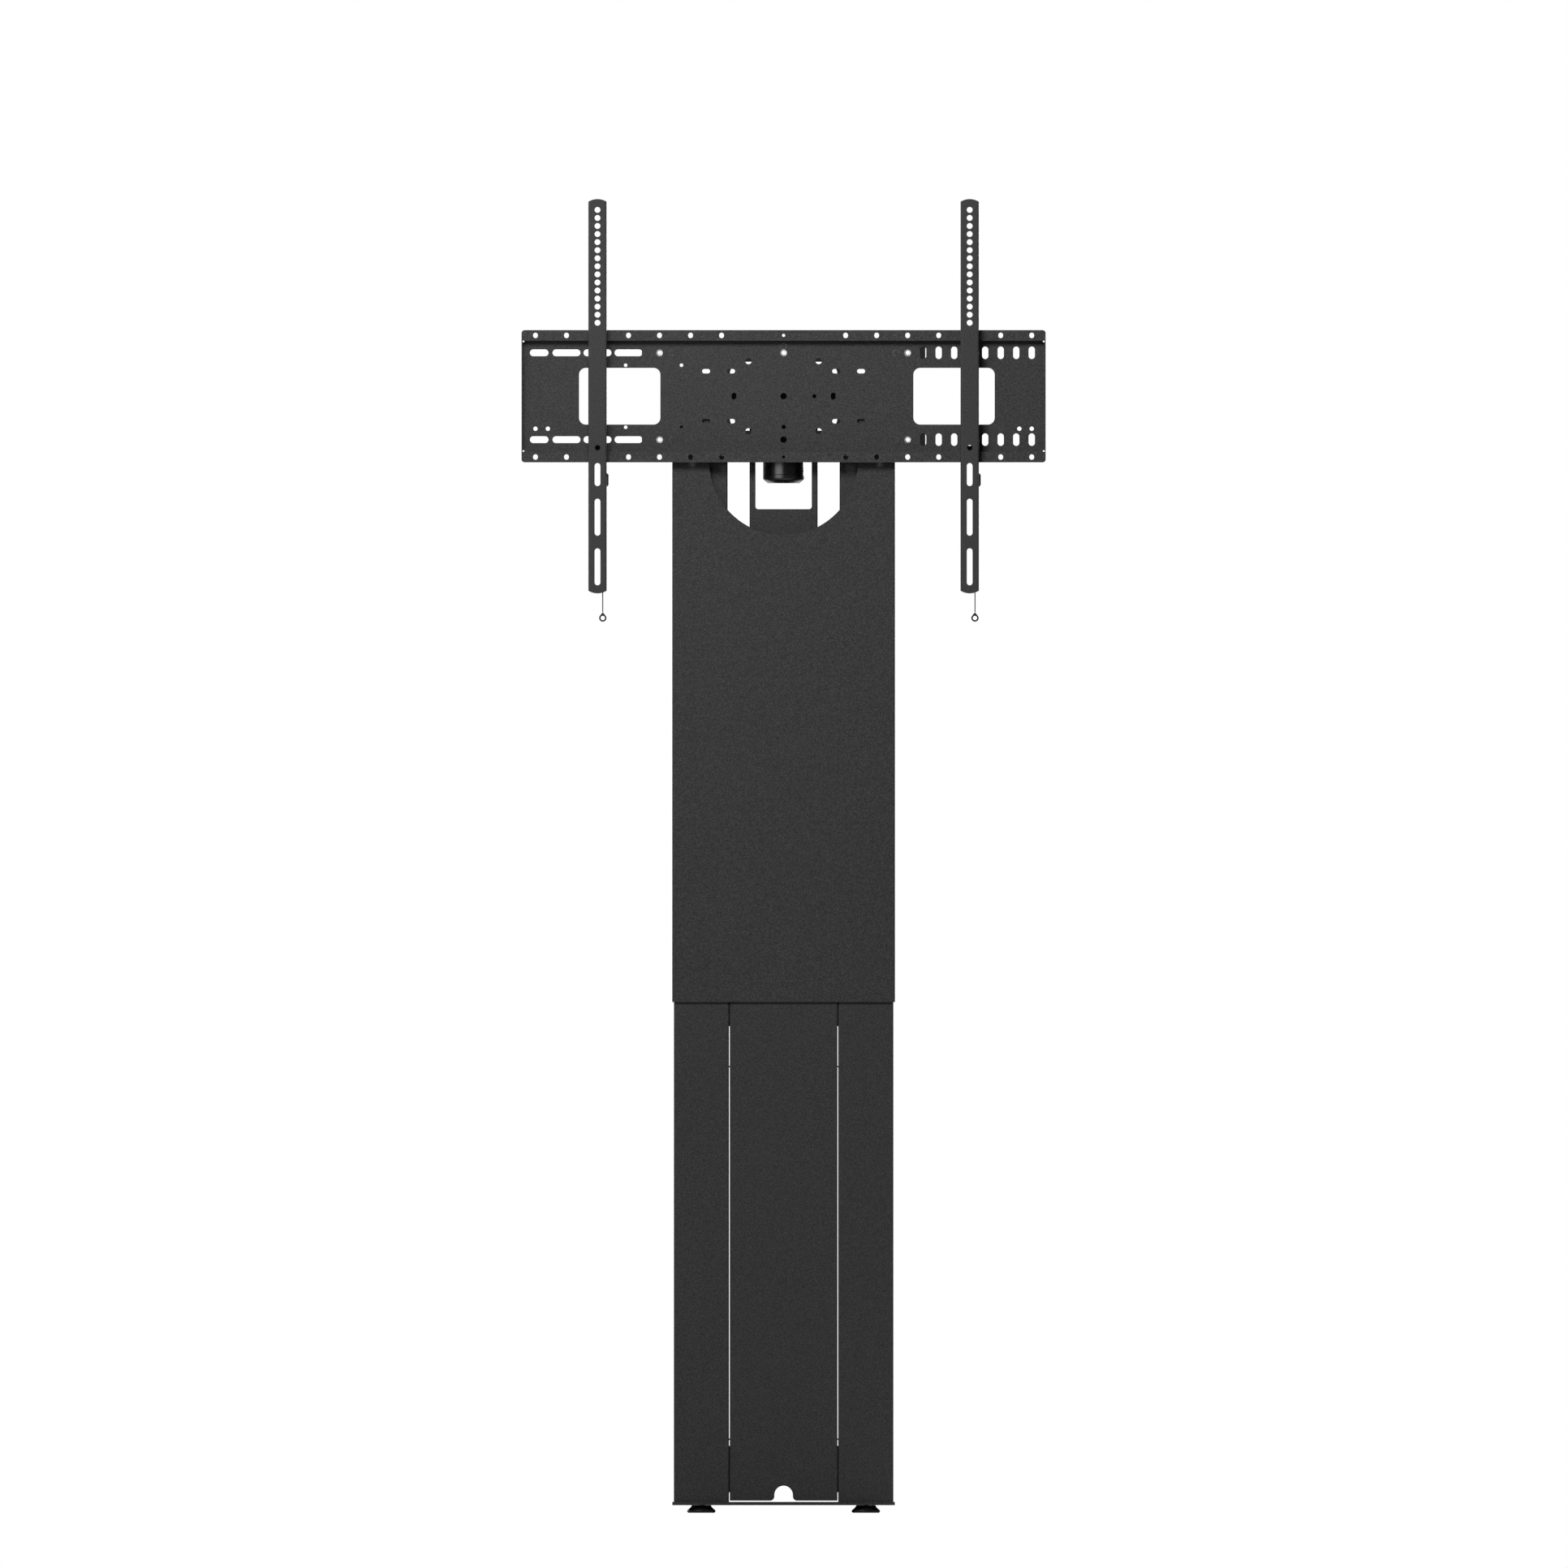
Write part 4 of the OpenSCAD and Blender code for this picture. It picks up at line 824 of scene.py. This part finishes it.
def spindle():
    """Thread up to the collar, then a bright journal with a chamfered top; heights from the floor."""
    top = spindle_high[2]
    collar_low = collar_top - COLLAR_H
    neck_low = collar_low - NECK
    ease = 0.6 * MM
    journal = [
        (SPINDLE_R - NECK_TAPER, neck_low), (SPINDLE_R, neck_low + NECK_TAPER),
        (SPINDLE_R, collar_low), (collar_r - ease, collar_low), (collar_r, collar_low + ease),
        (collar_r, collar_top - ease), (collar_r - ease, collar_top), (SPINDLE_R, collar_top),
        (SPINDLE_R, top - ease), (SPINDLE_R - ease, top),
    ]
    rod = thread(spindle_low[2], neck_low, SPINDLE_R - SPINDLE_DEPTH, SPINDLE_R,
                 SPINDLE_PITCH, SPINDLE_STARTS)
    return join([rod, capped(around(journal, 48))])


for side_name in ("left", "right"):
    name = side_name + "_spindle"
    x, y, _ = middle(name)
    screw = clean(new_object(side_name + "_lifting_spindle", *moved(spindle(), (x, y, 0))))
    place(screw, body_of(name), "steel", name, material=steel, smooth=30)

# %% [markdown]
# The bronze nuts have a flange that rests on the tube, a turned groove, and a bore that just
# clears the spindle. Only their outside shows, at the top of each support tube.

# %% Spindle nuts
nut_box_low, nut_box_high = corners("spindle_nuts")


def bronze_nut(height):
    """A flanged bush with eased edges and one shallow groove; its bore clears the spindle."""
    tube_r, flange_r, flange_h, ease = 14 * MM, 18 * MM, 6 * MM, 0.7 * MM
    bore = SPINDLE_R + THREAD_GAP
    rows = [
        (bore, ease), (bore + ease, 0), (flange_r - ease, 0), (flange_r, ease),
        (flange_r, flange_h - ease), (flange_r - ease, flange_h), (tube_r + ease, flange_h),
        (tube_r, flange_h + ease), (tube_r, height * 0.62), (tube_r - ease, height * 0.64),
        (tube_r - ease, height * 0.7), (tube_r, height * 0.72), (tube_r, height - 1.5 * MM),
        (tube_r - 1.5 * MM, height), (bore + ease, height), (bore, height - ease),
    ]
    return looped(around(rows, 64))


bushes = []
for side_name in ("left", "right"):
    x, y, _ = middle(side_name + "_spindle")
    bush = bronze_nut(nut_box_high[2] - nut_box_low[2])
    bushes.append(moved(bush, (x, y, nut_box_low[2])))
bronze_nuts = clean(new_object("bronze_nuts", *join(bushes)))
place(bronze_nuts, body_of("spindle_nuts"), "bronze", "spindle_nuts", material=bronze, smooth=35)

# %% [markdown]
# The motor hangs under the head beam and shows in the round notch of the cover. It is the one
# glossy thing on the stand, so its shape must be exact: a deep-drawn can, a cap with a rounded
# bevel, a fine seam between them, and a square flange with round corners against the beam.

# %% Motor
def rounded_square(half, corner, sides):
    """Radius of a square with round corners: half / cos on the flats, else the arc's far side."""
    angle = np.linspace(0, 2 * np.pi, sides, endpoint=False)
    off = np.abs((angle + np.pi / 4) % (np.pi / 2) - np.pi / 4)
    inner = half - corner
    along = inner * (np.cos(off) + np.sin(off))
    arc_hit = along + np.sqrt(np.maximum(along ** 2 - 2 * inner ** 2 + corner ** 2, 0))
    return np.where(half * np.tan(off) <= inner, half / np.cos(off), arc_hit)


MOTOR_SIDES = 144
cap_low, cap_high = corners("motor_cap")
housing_low, housing_high = corners("motor_housing")
motor_r = (cap_high[0] - cap_low[0]) / 2
motor_at = (*middle("motor_cap")[:2], 0)
SEAM = 0.5 * MM
FLANGE_H = 8 * MM
FLANGE_CORNER = 6 * MM


def motor_cap():
    """A boss and a shallow dish underneath, then a broad bevel with eased corners up to the seam."""
    z = cap_low[2]
    boss = [(7, 1.5), (7.5, 0.4), (10, 0.4), (11, 1.2), (20, 1.2), (21, 0.1)]
    bevel = [
        (-1.6, 0.0), (-0.5, 0.1), (0.5, 0.7), (2.6, 2.4), (4.9, 4.3), (7.0, 6.2), (7.5, 7.0),
        (7.7, 8.2),
    ]
    bevel_w = bevel[-1][0]
    rows = [
        *[(r * MM, z + up * MM) for r, up in boss],
        *[(motor_r + (out - bevel_w) * MM, z + up * MM) for out, up in bevel],
        (motor_r, cap_high[2] - SEAM), (motor_r - SEAM, cap_high[2]), (motor_r - 3 * MM, cap_high[2]),
    ]
    return moved(capped(around(rows, MOTOR_SIDES)), motor_at)


def motor_housing():
    """The can, with a seam at the bottom and a swage below the square flange."""
    low, high = housing_low[2], housing_high[2]
    under = high - FLANGE_H
    square = rounded_square(motor_r, FLANGE_CORNER, MOTOR_SIDES)
    ease = 0.6 * MM
    rows = [
        (motor_r - 3 * MM, low), (motor_r - SEAM, low), (motor_r, low + SEAM),
        (motor_r, under - 4 * MM), (motor_r - 0.5 * MM, under - 3 * MM), (motor_r - 0.5 * MM, under),
        (square - ease, under), (square, under + ease), (square, high - ease), (square - ease, high),
        (12 * MM, high),
    ]
    return moved(capped(around(rows, MOTOR_SIDES)), motor_at)


for name, part in (("motor_cap", motor_cap()), ("motor_housing", motor_housing())):
    turned_part = clean(new_object(name + "_turned", *part))
    place(turned_part, body_of(name), "motor_gloss", name, material=motor_enamel, smooth=32)

# %% [markdown]
# The control box sits in the cradle under the motor. It is a moulded tub with a lid: a rounded
# rectangle carried up through a list of insets, which gives the eased edges, the seam and the
# row of cooling ribs in one sweep.

# %% Control box
CORNER_STEPS = 7


def rounded_ring(w, d, r):
    """Points of a w by d rectangle with corners of radius r, anticlockwise."""
    x, y = w / 2 - r, d / 2 - r
    spots = [(x, y, 0), (-x, y, 90), (-x, -y, 180), (x, -y, 270)]
    return np.concatenate([arc(cx, cy, r, start, start + 90, CORNER_STEPS) for cx, cy, start in spots])


def layered(w, d, r, rows):
    """A rounded block: each row is (inset, height), and the corner's radius shrinks with the inset."""
    rings = []
    for inset, height in rows:
        ring = rounded_ring(w - 2 * inset, d - 2 * inset, max(r - inset, 0.2 * MM))
        rings.append(np.column_stack([ring, np.full(len(ring), height)]))
    return capped(np.array(rings))


box_low, box_high = corners("control_box")
box_w, box_d, box_h = box_high - box_low
RIB = 3 * MM
RIB_COUNT = 9
RIB_DEEP = 0.9 * MM
RIB_EASE = 0.3 * MM
ribs = []
for k in range(RIB_COUNT):
    z = 0.3 * box_h + k * 2 * RIB
    ribs += [(0, z), (RIB_DEEP, z + RIB_EASE), (RIB_DEEP, z + RIB), (0, z + RIB + RIB_EASE)]
SEAM_DROP = 12 * MM
LID_SEAM = 0.6 * MM
seam_z = box_h - SEAM_DROP
box_rows = [
    (1.5 * MM, 0), (0.4 * MM, 0.5 * MM), (0, 1.6 * MM), *ribs,
    (0, seam_z - LID_SEAM), (LID_SEAM, seam_z - LID_SEAM / 2),
    (LID_SEAM, seam_z + LID_SEAM / 2), (0, seam_z + LID_SEAM),
    (0, box_h - 1.6 * MM), (0.4 * MM, box_h - 0.5 * MM), (1.5 * MM, box_h),
]
x, y, _ = middle("control_box")
tub_part = moved(layered(box_w, box_d, 3 * MM, box_rows), (x, y, box_low[2]))
tub = clean(new_object("control_box_tub", *tub_part))
place(tub, body_of("control_box"), "box_plastic", "control_box", material=box_plastic, smooth=35)
eased("mains_inlet", SHEET_EDGE)

# %% [markdown]
# Screws come in three kinds here: button heads that hold the casings and covers, countersunk
# bolts that sink flush into the adapter plate, and small ones on the drive lid. All have a
# hexagon socket, cut by letting the radius of the innermost rows follow a hexagon. Their places
# are read from the frame: every separate solid of a fastener node gives one box.

# %% Screw shapes
SCREW_SIDES = 48
SHANK_TIP = 0.5 * MM
BUTTON_SOCKET = 3 * MM
FLUSH_SOCKET = 4 * MM


def socket_rows(face, across, deep):
    """Rows from the bottom of a hexagon socket up to its eased mouth in a face."""
    hexagon = polygon_radius(6, across / 2, SCREW_SIDES)
    return [
        (hexagon * 0.9, face - deep), (hexagon, face - deep + 0.2 * MM),
        (hexagon, face - 0.25 * MM), (hexagon + 0.25 * MM, face),
    ]


def button_screw(head_r, head_h, shank_r, length, across=BUTTON_SOCKET):
    """A domed head over z = 0 with a socket, and a plain shank below it."""
    mouth = across * 0.6
    angles = np.radians([68, 52, 36, 20, 5])
    dome = [(head_r * math.cos(a), head_h * (0.3 + 0.7 * math.sin(a))) for a in angles]
    rows = socket_rows(head_h, across, min(1.4 * MM, 0.6 * head_h))
    rows += [(head_r * 0.6, head_h)] if head_r * 0.6 > mouth + 0.3 * MM else []
    rows += [(r, z) for r, z in dome if r > mouth + 0.35 * MM]
    rows += [
        (head_r, head_h * 0.2), (head_r - 0.2 * MM, 0), (shank_r, 0),
        (shank_r, SHANK_TIP - length), (shank_r - SHANK_TIP, -length),
    ]
    return capped(around(rows, SCREW_SIDES))


def flush_screw(head_r, head_h, shank_r, length):
    """A countersunk head with its face on z = 0."""
    rows = socket_rows(0, FLUSH_SOCKET, 0.7 * head_h)
    rows += [
        (head_r - 0.3 * MM, 0), (head_r, -0.3 * MM), (shank_r, -head_h),
        (shank_r, SHANK_TIP - length), (shank_r - SHANK_TIP, -length),
    ]
    return capped(around(rows, SCREW_SIDES))


def islands(name):
    """Boxes of a node's separate solids, found by passing the lowest label along every edge."""
    shape = merged(name)
    points = np.array([v.co for v in shape.verts])
    edges = np.array([[v.index for v in e.verts] for e in shape.edges])
    shape.free()
    label = np.arange(len(points))
    settled = False
    while not settled:
        before = label.copy()
        lower = np.minimum(label[edges[:, 0]], label[edges[:, 1]])
        np.minimum.at(label, edges[:, 0], lower)
        np.minimum.at(label, edges[:, 1], lower)
        settled = (label == before).all()
    return [(points[label == k].min(0), points[label == k].max(0)) for k in np.unique(label)]


# %% [markdown]
# The size of a box tells which screw it holds. On the casing, a box that is narrower than a
# button head in X is a screw that goes in sideways. On the carriage, a box that is wider than a
# button head is a countersunk bolt.

# %% Screws of the casing and the carriage
BUTTON_R = 4 * MM
BUTTON_H = 2.5 * MM
BUTTON_SHANK_R = 2.5 * MM
NARROWER = 1.8 * BUTTON_R
WIDER = 2.2 * BUTTON_R
FORWARDS = (0, -1, 0)
casing_screws = []
for low, high in islands("casing_bolts"):
    size, centre = high - low, (low + high) / 2
    if size[0] < NARROWER:
        side = math.copysign(1, centre[0])
        seat = (high if side > 0 else low)[0] - side * BUTTON_H
        screw = button_screw(BUTTON_R, BUTTON_H, BUTTON_SHANK_R, size[0] - BUTTON_H)
        casing_screws.append(moved(screw, (seat, centre[1], centre[2]), (side, 0, 0)))
    else:
        screw = button_screw(BUTTON_R, BUTTON_H, BUTTON_SHANK_R, size[1] - BUTTON_H)
        casing_screws.append(moved(screw, (centre[0], low[1] + BUTTON_H, centre[2]), FORWARDS))
screws = clean(new_object("casing_screws", *join(casing_screws)))
place(screws, body_of("casing_bolts"), "bolt_black", "casing_bolts", material=bolt_black, smooth=32)

CARRIAGE_HEAD_H = 3 * MM
FLUSH_SHANK_R = 3 * MM
carriage_screws = []
for low, high in islands("carriage_bolts"):
    size, centre = high - low, (low + high) / 2
    if size[0] > WIDER:
        screw = flush_screw(size[0] / 2, CARRIAGE_HEAD_H, FLUSH_SHANK_R, size[1])
        seat = low[1]
    else:
        screw = button_screw(BUTTON_R, CARRIAGE_HEAD_H, BUTTON_SHANK_R, size[1] - CARRIAGE_HEAD_H)
        seat = low[1] + CARRIAGE_HEAD_H
    carriage_screws.append(moved(screw, (centre[0], seat, centre[2]), FORWARDS))
screws = clean(new_object("carriage_screws", *join(carriage_screws)))
name = "carriage_bolts"
place(screws, body_of(name), "bolt_black", name, material=bolt_black, smooth=32)
print(len(casing_screws), "casing and", len(carriage_screws), "carriage screws")

# %% [markdown]
# Four small button screws hold the lid on the head beam. They are trim that the frame doesn't
# have, so they replace no node and only ride along with the lid's body.

# %% Lid screws
LID_INSET = 12 * MM
LID_HEAD_R = 3.2 * MM
LID_HEAD_H = 1.8 * MM
LID_SHANK_R = 1.6 * MM
LID_LENGTH = 6 * MM
LID_SOCKET = 2 * MM
lid_low, lid_high = corners("drive_lid")
lid_screws = []
for x in (lid_low[0] + LID_INSET, lid_high[0] - LID_INSET):
    for y in (lid_low[1] + LID_INSET, lid_high[1] - LID_INSET):
        screw = button_screw(LID_HEAD_R, LID_HEAD_H, LID_SHANK_R, LID_LENGTH, LID_SOCKET)
        lid_screws.append(moved(screw, (x, y, lid_high[2])))
screws = clean(new_object("lid_screws", *join(lid_screws)))
place(screws, body_of("drive_lid"), "bolt_black", material=bolt_black, smooth=32)

# %% [markdown]
# Press nuts and clinched studs are squeezed into the bracket's sheet and stay there. A press nut
# is a bright ring that you can look through, for the screw of an accessory. A stud only leaves a
# fine groove in the steel, where its head was pressed flush and painted over. The same groove
# marks two rivets on the front of each arm.

# %% Press nuts, studs and rivets
HEAD_GROOVE = 0.35 * MM


def press_nut(radius, bore, length):
    """A ring with a chamfered bore and a narrow outer bevel, its face on z = 0."""
    rows = [
        (bore, -0.7 * MM), (bore + 0.5 * MM, -0.05 * MM), (bore + 0.6 * MM, 0), (radius - 0.3 * MM, 0),
        (radius, -0.25 * MM), (radius, 0.3 * MM - length), (radius - 0.3 * MM, -length),
        (bore + 0.4 * MM, -length), (bore, 0.4 * MM - length),
    ]
    return looped(around(rows, 64))


def flush_head(radius, length, proud=0.0):
    """A flat head with a rounded rim that leaves a fine groove round itself."""
    groove = HEAD_GROOVE
    rows = [
        (radius - 2 * groove, proud), (radius - groove, proud - groove * 0.15),
        (radius - 0.25 * groove, proud - groove * 0.6), (radius, proud - groove * 1.4),
        (radius, -length),
    ]
    return capped(around(rows, 48))


NUT_BORE_R = 3.35 * MM
nut_rings = []
for low, high in islands("press_nuts"):
    centre = (low + high) / 2
    ring = press_nut((high[0] - low[0]) / 2, NUT_BORE_R, high[1] - low[1])
    nut_rings.append(moved(ring, (centre[0], low[1], centre[2]), FORWARDS))
rings = clean(new_object("press_nut_rings", *join(nut_rings)))
place(rings, body_of("press_nuts"), "zinc", "press_nuts", material=zinc, smooth=32)

heads = []
for low, high in islands("clinch_studs"):
    centre = (low + high) / 2
    head = flush_head((high[0] - low[0]) / 2, high[1] - low[1])
    heads.append(moved(head, (centre[0], low[1], centre[2]), FORWARDS))
studs = clean(new_object("clinched_heads", *join(heads)))
name = "clinch_studs"
place(studs, body_of(name), "bracket_coat", name, material=bracket_coat, smooth=32)

RIVET_R = 2.75 * MM
RIVET_RISE = 98 * MM
RIVET_LENGTH = 1.5 * MM
RIVET_PROUD = 0.18 * MM
for side_name in ("left", "right"):
    name = side_name + "_arm"
    x, _, z = middle(name)
    face_y = corners(name)[0][1]
    rivet = flush_head(RIVET_R, RIVET_LENGTH, RIVET_PROUD)
    marks = [moved(rivet, (x, face_y, z + rise), FORWARDS) for rise in (-RIVET_RISE, RIVET_RISE)]
    rivets = clean(new_object(side_name + "_arm_rivets", *join(marks)))
    place(rivets, body_of(name), "bracket_coat", material=bracket_coat, smooth=32)

# %% [markdown]
# Under each latch a small compression spring pushes it back up when the cord is let go. Its wire
# runs along a helix that climbs by no more than half its own thickness over each of the two end
# turns, so that they lie flat, as they do on a real spring.

# %% Latch springs
SPRING_WIRE_R = 0.5 * MM
SPRING_TURNS = 7
SPRING_STEPS = 28
FLAT_TURNS = 0.8


def coil(low, high, radius):
    """A tube along a helix: it climbs one wire radius over FLAT_TURNS at each end, evenly between."""
    t = np.linspace(0, 1, SPRING_TURNS * SPRING_STEPS)
    flat = FLAT_TURNS / SPRING_TURNS
    rise = np.clip((t - flat) / (1 - 2 * flat), 0, 1)
    climb = SPRING_WIRE_R * (np.clip(t / flat, 0, 1) + np.clip((t - 1 + flat) / flat, 0, 1))
    height = low + SPRING_WIRE_R + climb + rise * (high - low - 4 * SPRING_WIRE_R)
    turn = 2 * np.pi * SPRING_TURNS * t
    path = np.stack([radius * np.cos(turn), radius * np.sin(turn), height], -1)
    return tube(path, SPRING_WIRE_R, 10)


for side_name in ("left", "right"):
    name = side_name + "_latch_spring"
    low, high = corners(name)
    x, y, _ = middle(name)
    radius = (high[0] - low[0]) / 2 - SPRING_WIRE_R
    spring = new_object(side_name + "_spring", *moved(coil(low[2], high[2], radius), (x, y, 0)))
    place(spring, body_of(name), "steel", name, material=steel, smooth=60)
    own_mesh(spring)
print("springs:", len(spring.data.vertices), "vertices each")

# %% [markdown]
# In the photo the shadows are short and dark: under the bracket's lip, in the holes, to the right
# of the arms. So the main lamp is small and stands high in front, a little to the left, with its
# beam narrowed so that the casing gets less of it than the bracket. A second lamp that only shows
# in gloss puts the soft streak on the motor and brightens the zinc. A faint one stands on the
# right, and two behind, for the views from there. The sheets reflect dark surroundings, but the
# camera looks straight at a white backdrop, and the floor brightens far away to meet it without a
# horizon.

# %% Floor and lamps
FLOOR_R = 14
FAR_GLOW = 1.0
GLOW_FROM = 1.2
GLOW_FULL = 4.5
floor_mesh = bpy.data.meshes.new("floor")
floor_shape = bmesh.new()
bmesh.ops.create_circle(floor_shape, cap_ends=True, radius=FLOOR_R, segments=96)
floor_shape.to_mesh(floor_mesh)
floor_shape.free()
floor = bpy.data.objects.new("floor", floor_mesh)
bpy.context.scene.collection.objects.link(floor)
floor_finish, floor_shader = new_finish("pale_floor", (0.86, 0.86, 0.855), 0.7)
floor_tones = [(0.3, (0.85, 0.85, 0.845)), (0.7, (0.88, 0.88, 0.875))]
floor_tone = ramp(floor_finish, noise(floor_finish, 3.0), floor_tones)
link(floor_finish, floor_tone, floor_shader, "Base Color")
length = node(floor_finish, "VectorMath", {0: place_of(floor_finish)}, operation="LENGTH")
floor_shader.inputs["Emission Color"].default_value = (1, 1, 1, 1)
far = ranged(floor_finish, length.outputs["Value"], GLOW_FROM, GLOW_FULL, 0.0, FAR_GLOW)
looked_at = node(floor_finish, "LightPath").outputs["Is Camera Ray"]
glow = node(floor_finish, "Math", {0: far, 1: looked_at}, operation="MULTIPLY")
link(floor_finish, glow.outputs["Value"], floor_shader, "Emission Strength")
floor.data.materials.append(floor_finish)


def soft_lamp(name, place_at, aim, size, power, shines=True, fills=True):
    """A square area lamp that faces the aim: it may shine in gloss, fill matt faces, or both."""
    data = bpy.data.lights.new(name, "AREA")
    data.energy = power
    data.size = size
    lamp = bpy.data.objects.new(name, data)
    lamp.location = place_at
    towards = mathutils.Vector(aim) - mathutils.Vector(place_at)
    lamp.rotation_euler = towards.to_track_quat("-Z", "Y").to_euler()
    lamp.visible_glossy = shines
    lamp.visible_diffuse = fills
    bpy.context.scene.collection.objects.link(lamp)
    return lamp


front = soft_lamp("front", (-0.5, -3.6, 3.25), (0, 0, 2.6), 1.0, 118, shines=False)
front.data.spread = math.radians(132)
soft_lamp("shine", (-1.8, -3.4, 2.4), (0, 0, 1.7), 2.8, 62, fills=False)
soft_lamp("side", (3.2, -1.6, 2.2), (0, 0, 1.1), 2.0, 2, shines=False)
soft_lamp("back", (1.6, 3.2, 2.8), (0, 0, 1.2), 2.4, 210)
soft_lamp("back_left", (-2.6, 2.8, 1.8), (0, 0, 1.0), 2.4, 120)

# %% [markdown]
# The world is two backgrounds in one. A ray from the camera, or one that passes through, sees
# plain white. Every other ray gets the dim surroundings, a little brighter where it was mirrored.

# %% World
SURROUND = 0.05
SURROUND_SHINE = 0.02
world = bpy.data.worlds.new("studio")
world.use_nodes = True
bpy.context.scene.world = world
world_tree = world.node_tree
world_tree.nodes.clear()
rays = world_tree.nodes.new("ShaderNodeLightPath")
seen = world_tree.nodes.new("ShaderNodeMath")
seen.operation = "MAXIMUM"
strength = world_tree.nodes.new("ShaderNodeMath")
strength.operation = "MULTIPLY_ADD"
strength.inputs[1].default_value = SURROUND_SHINE
strength.inputs[2].default_value = SURROUND
surround = world_tree.nodes.new("ShaderNodeBackground")
surround.inputs["Color"].default_value = (1, 1, 1, 1)
white = world_tree.nodes.new("ShaderNodeBackground")
white.inputs["Color"].default_value = (1, 1, 1, 1)
chosen = world_tree.nodes.new("ShaderNodeMixShader")
world_out = world_tree.nodes.new("ShaderNodeOutputWorld")
for output, socket in (
    (rays.outputs["Is Camera Ray"], seen.inputs[0]),
    (rays.outputs["Is Transmission Ray"], seen.inputs[1]),
    (rays.outputs["Is Glossy Ray"], strength.inputs[0]),
    (strength.outputs[0], surround.inputs["Strength"]),
    (seen.outputs[0], chosen.inputs[0]),
    (surround.outputs[0], chosen.inputs[1]),
    (white.outputs[0], chosen.inputs[2]),
    (chosen.outputs[0], world_out.inputs[0]),
):
    world_tree.links.new(output, socket)
bpy.context.scene.view_settings.view_transform = "Standard"
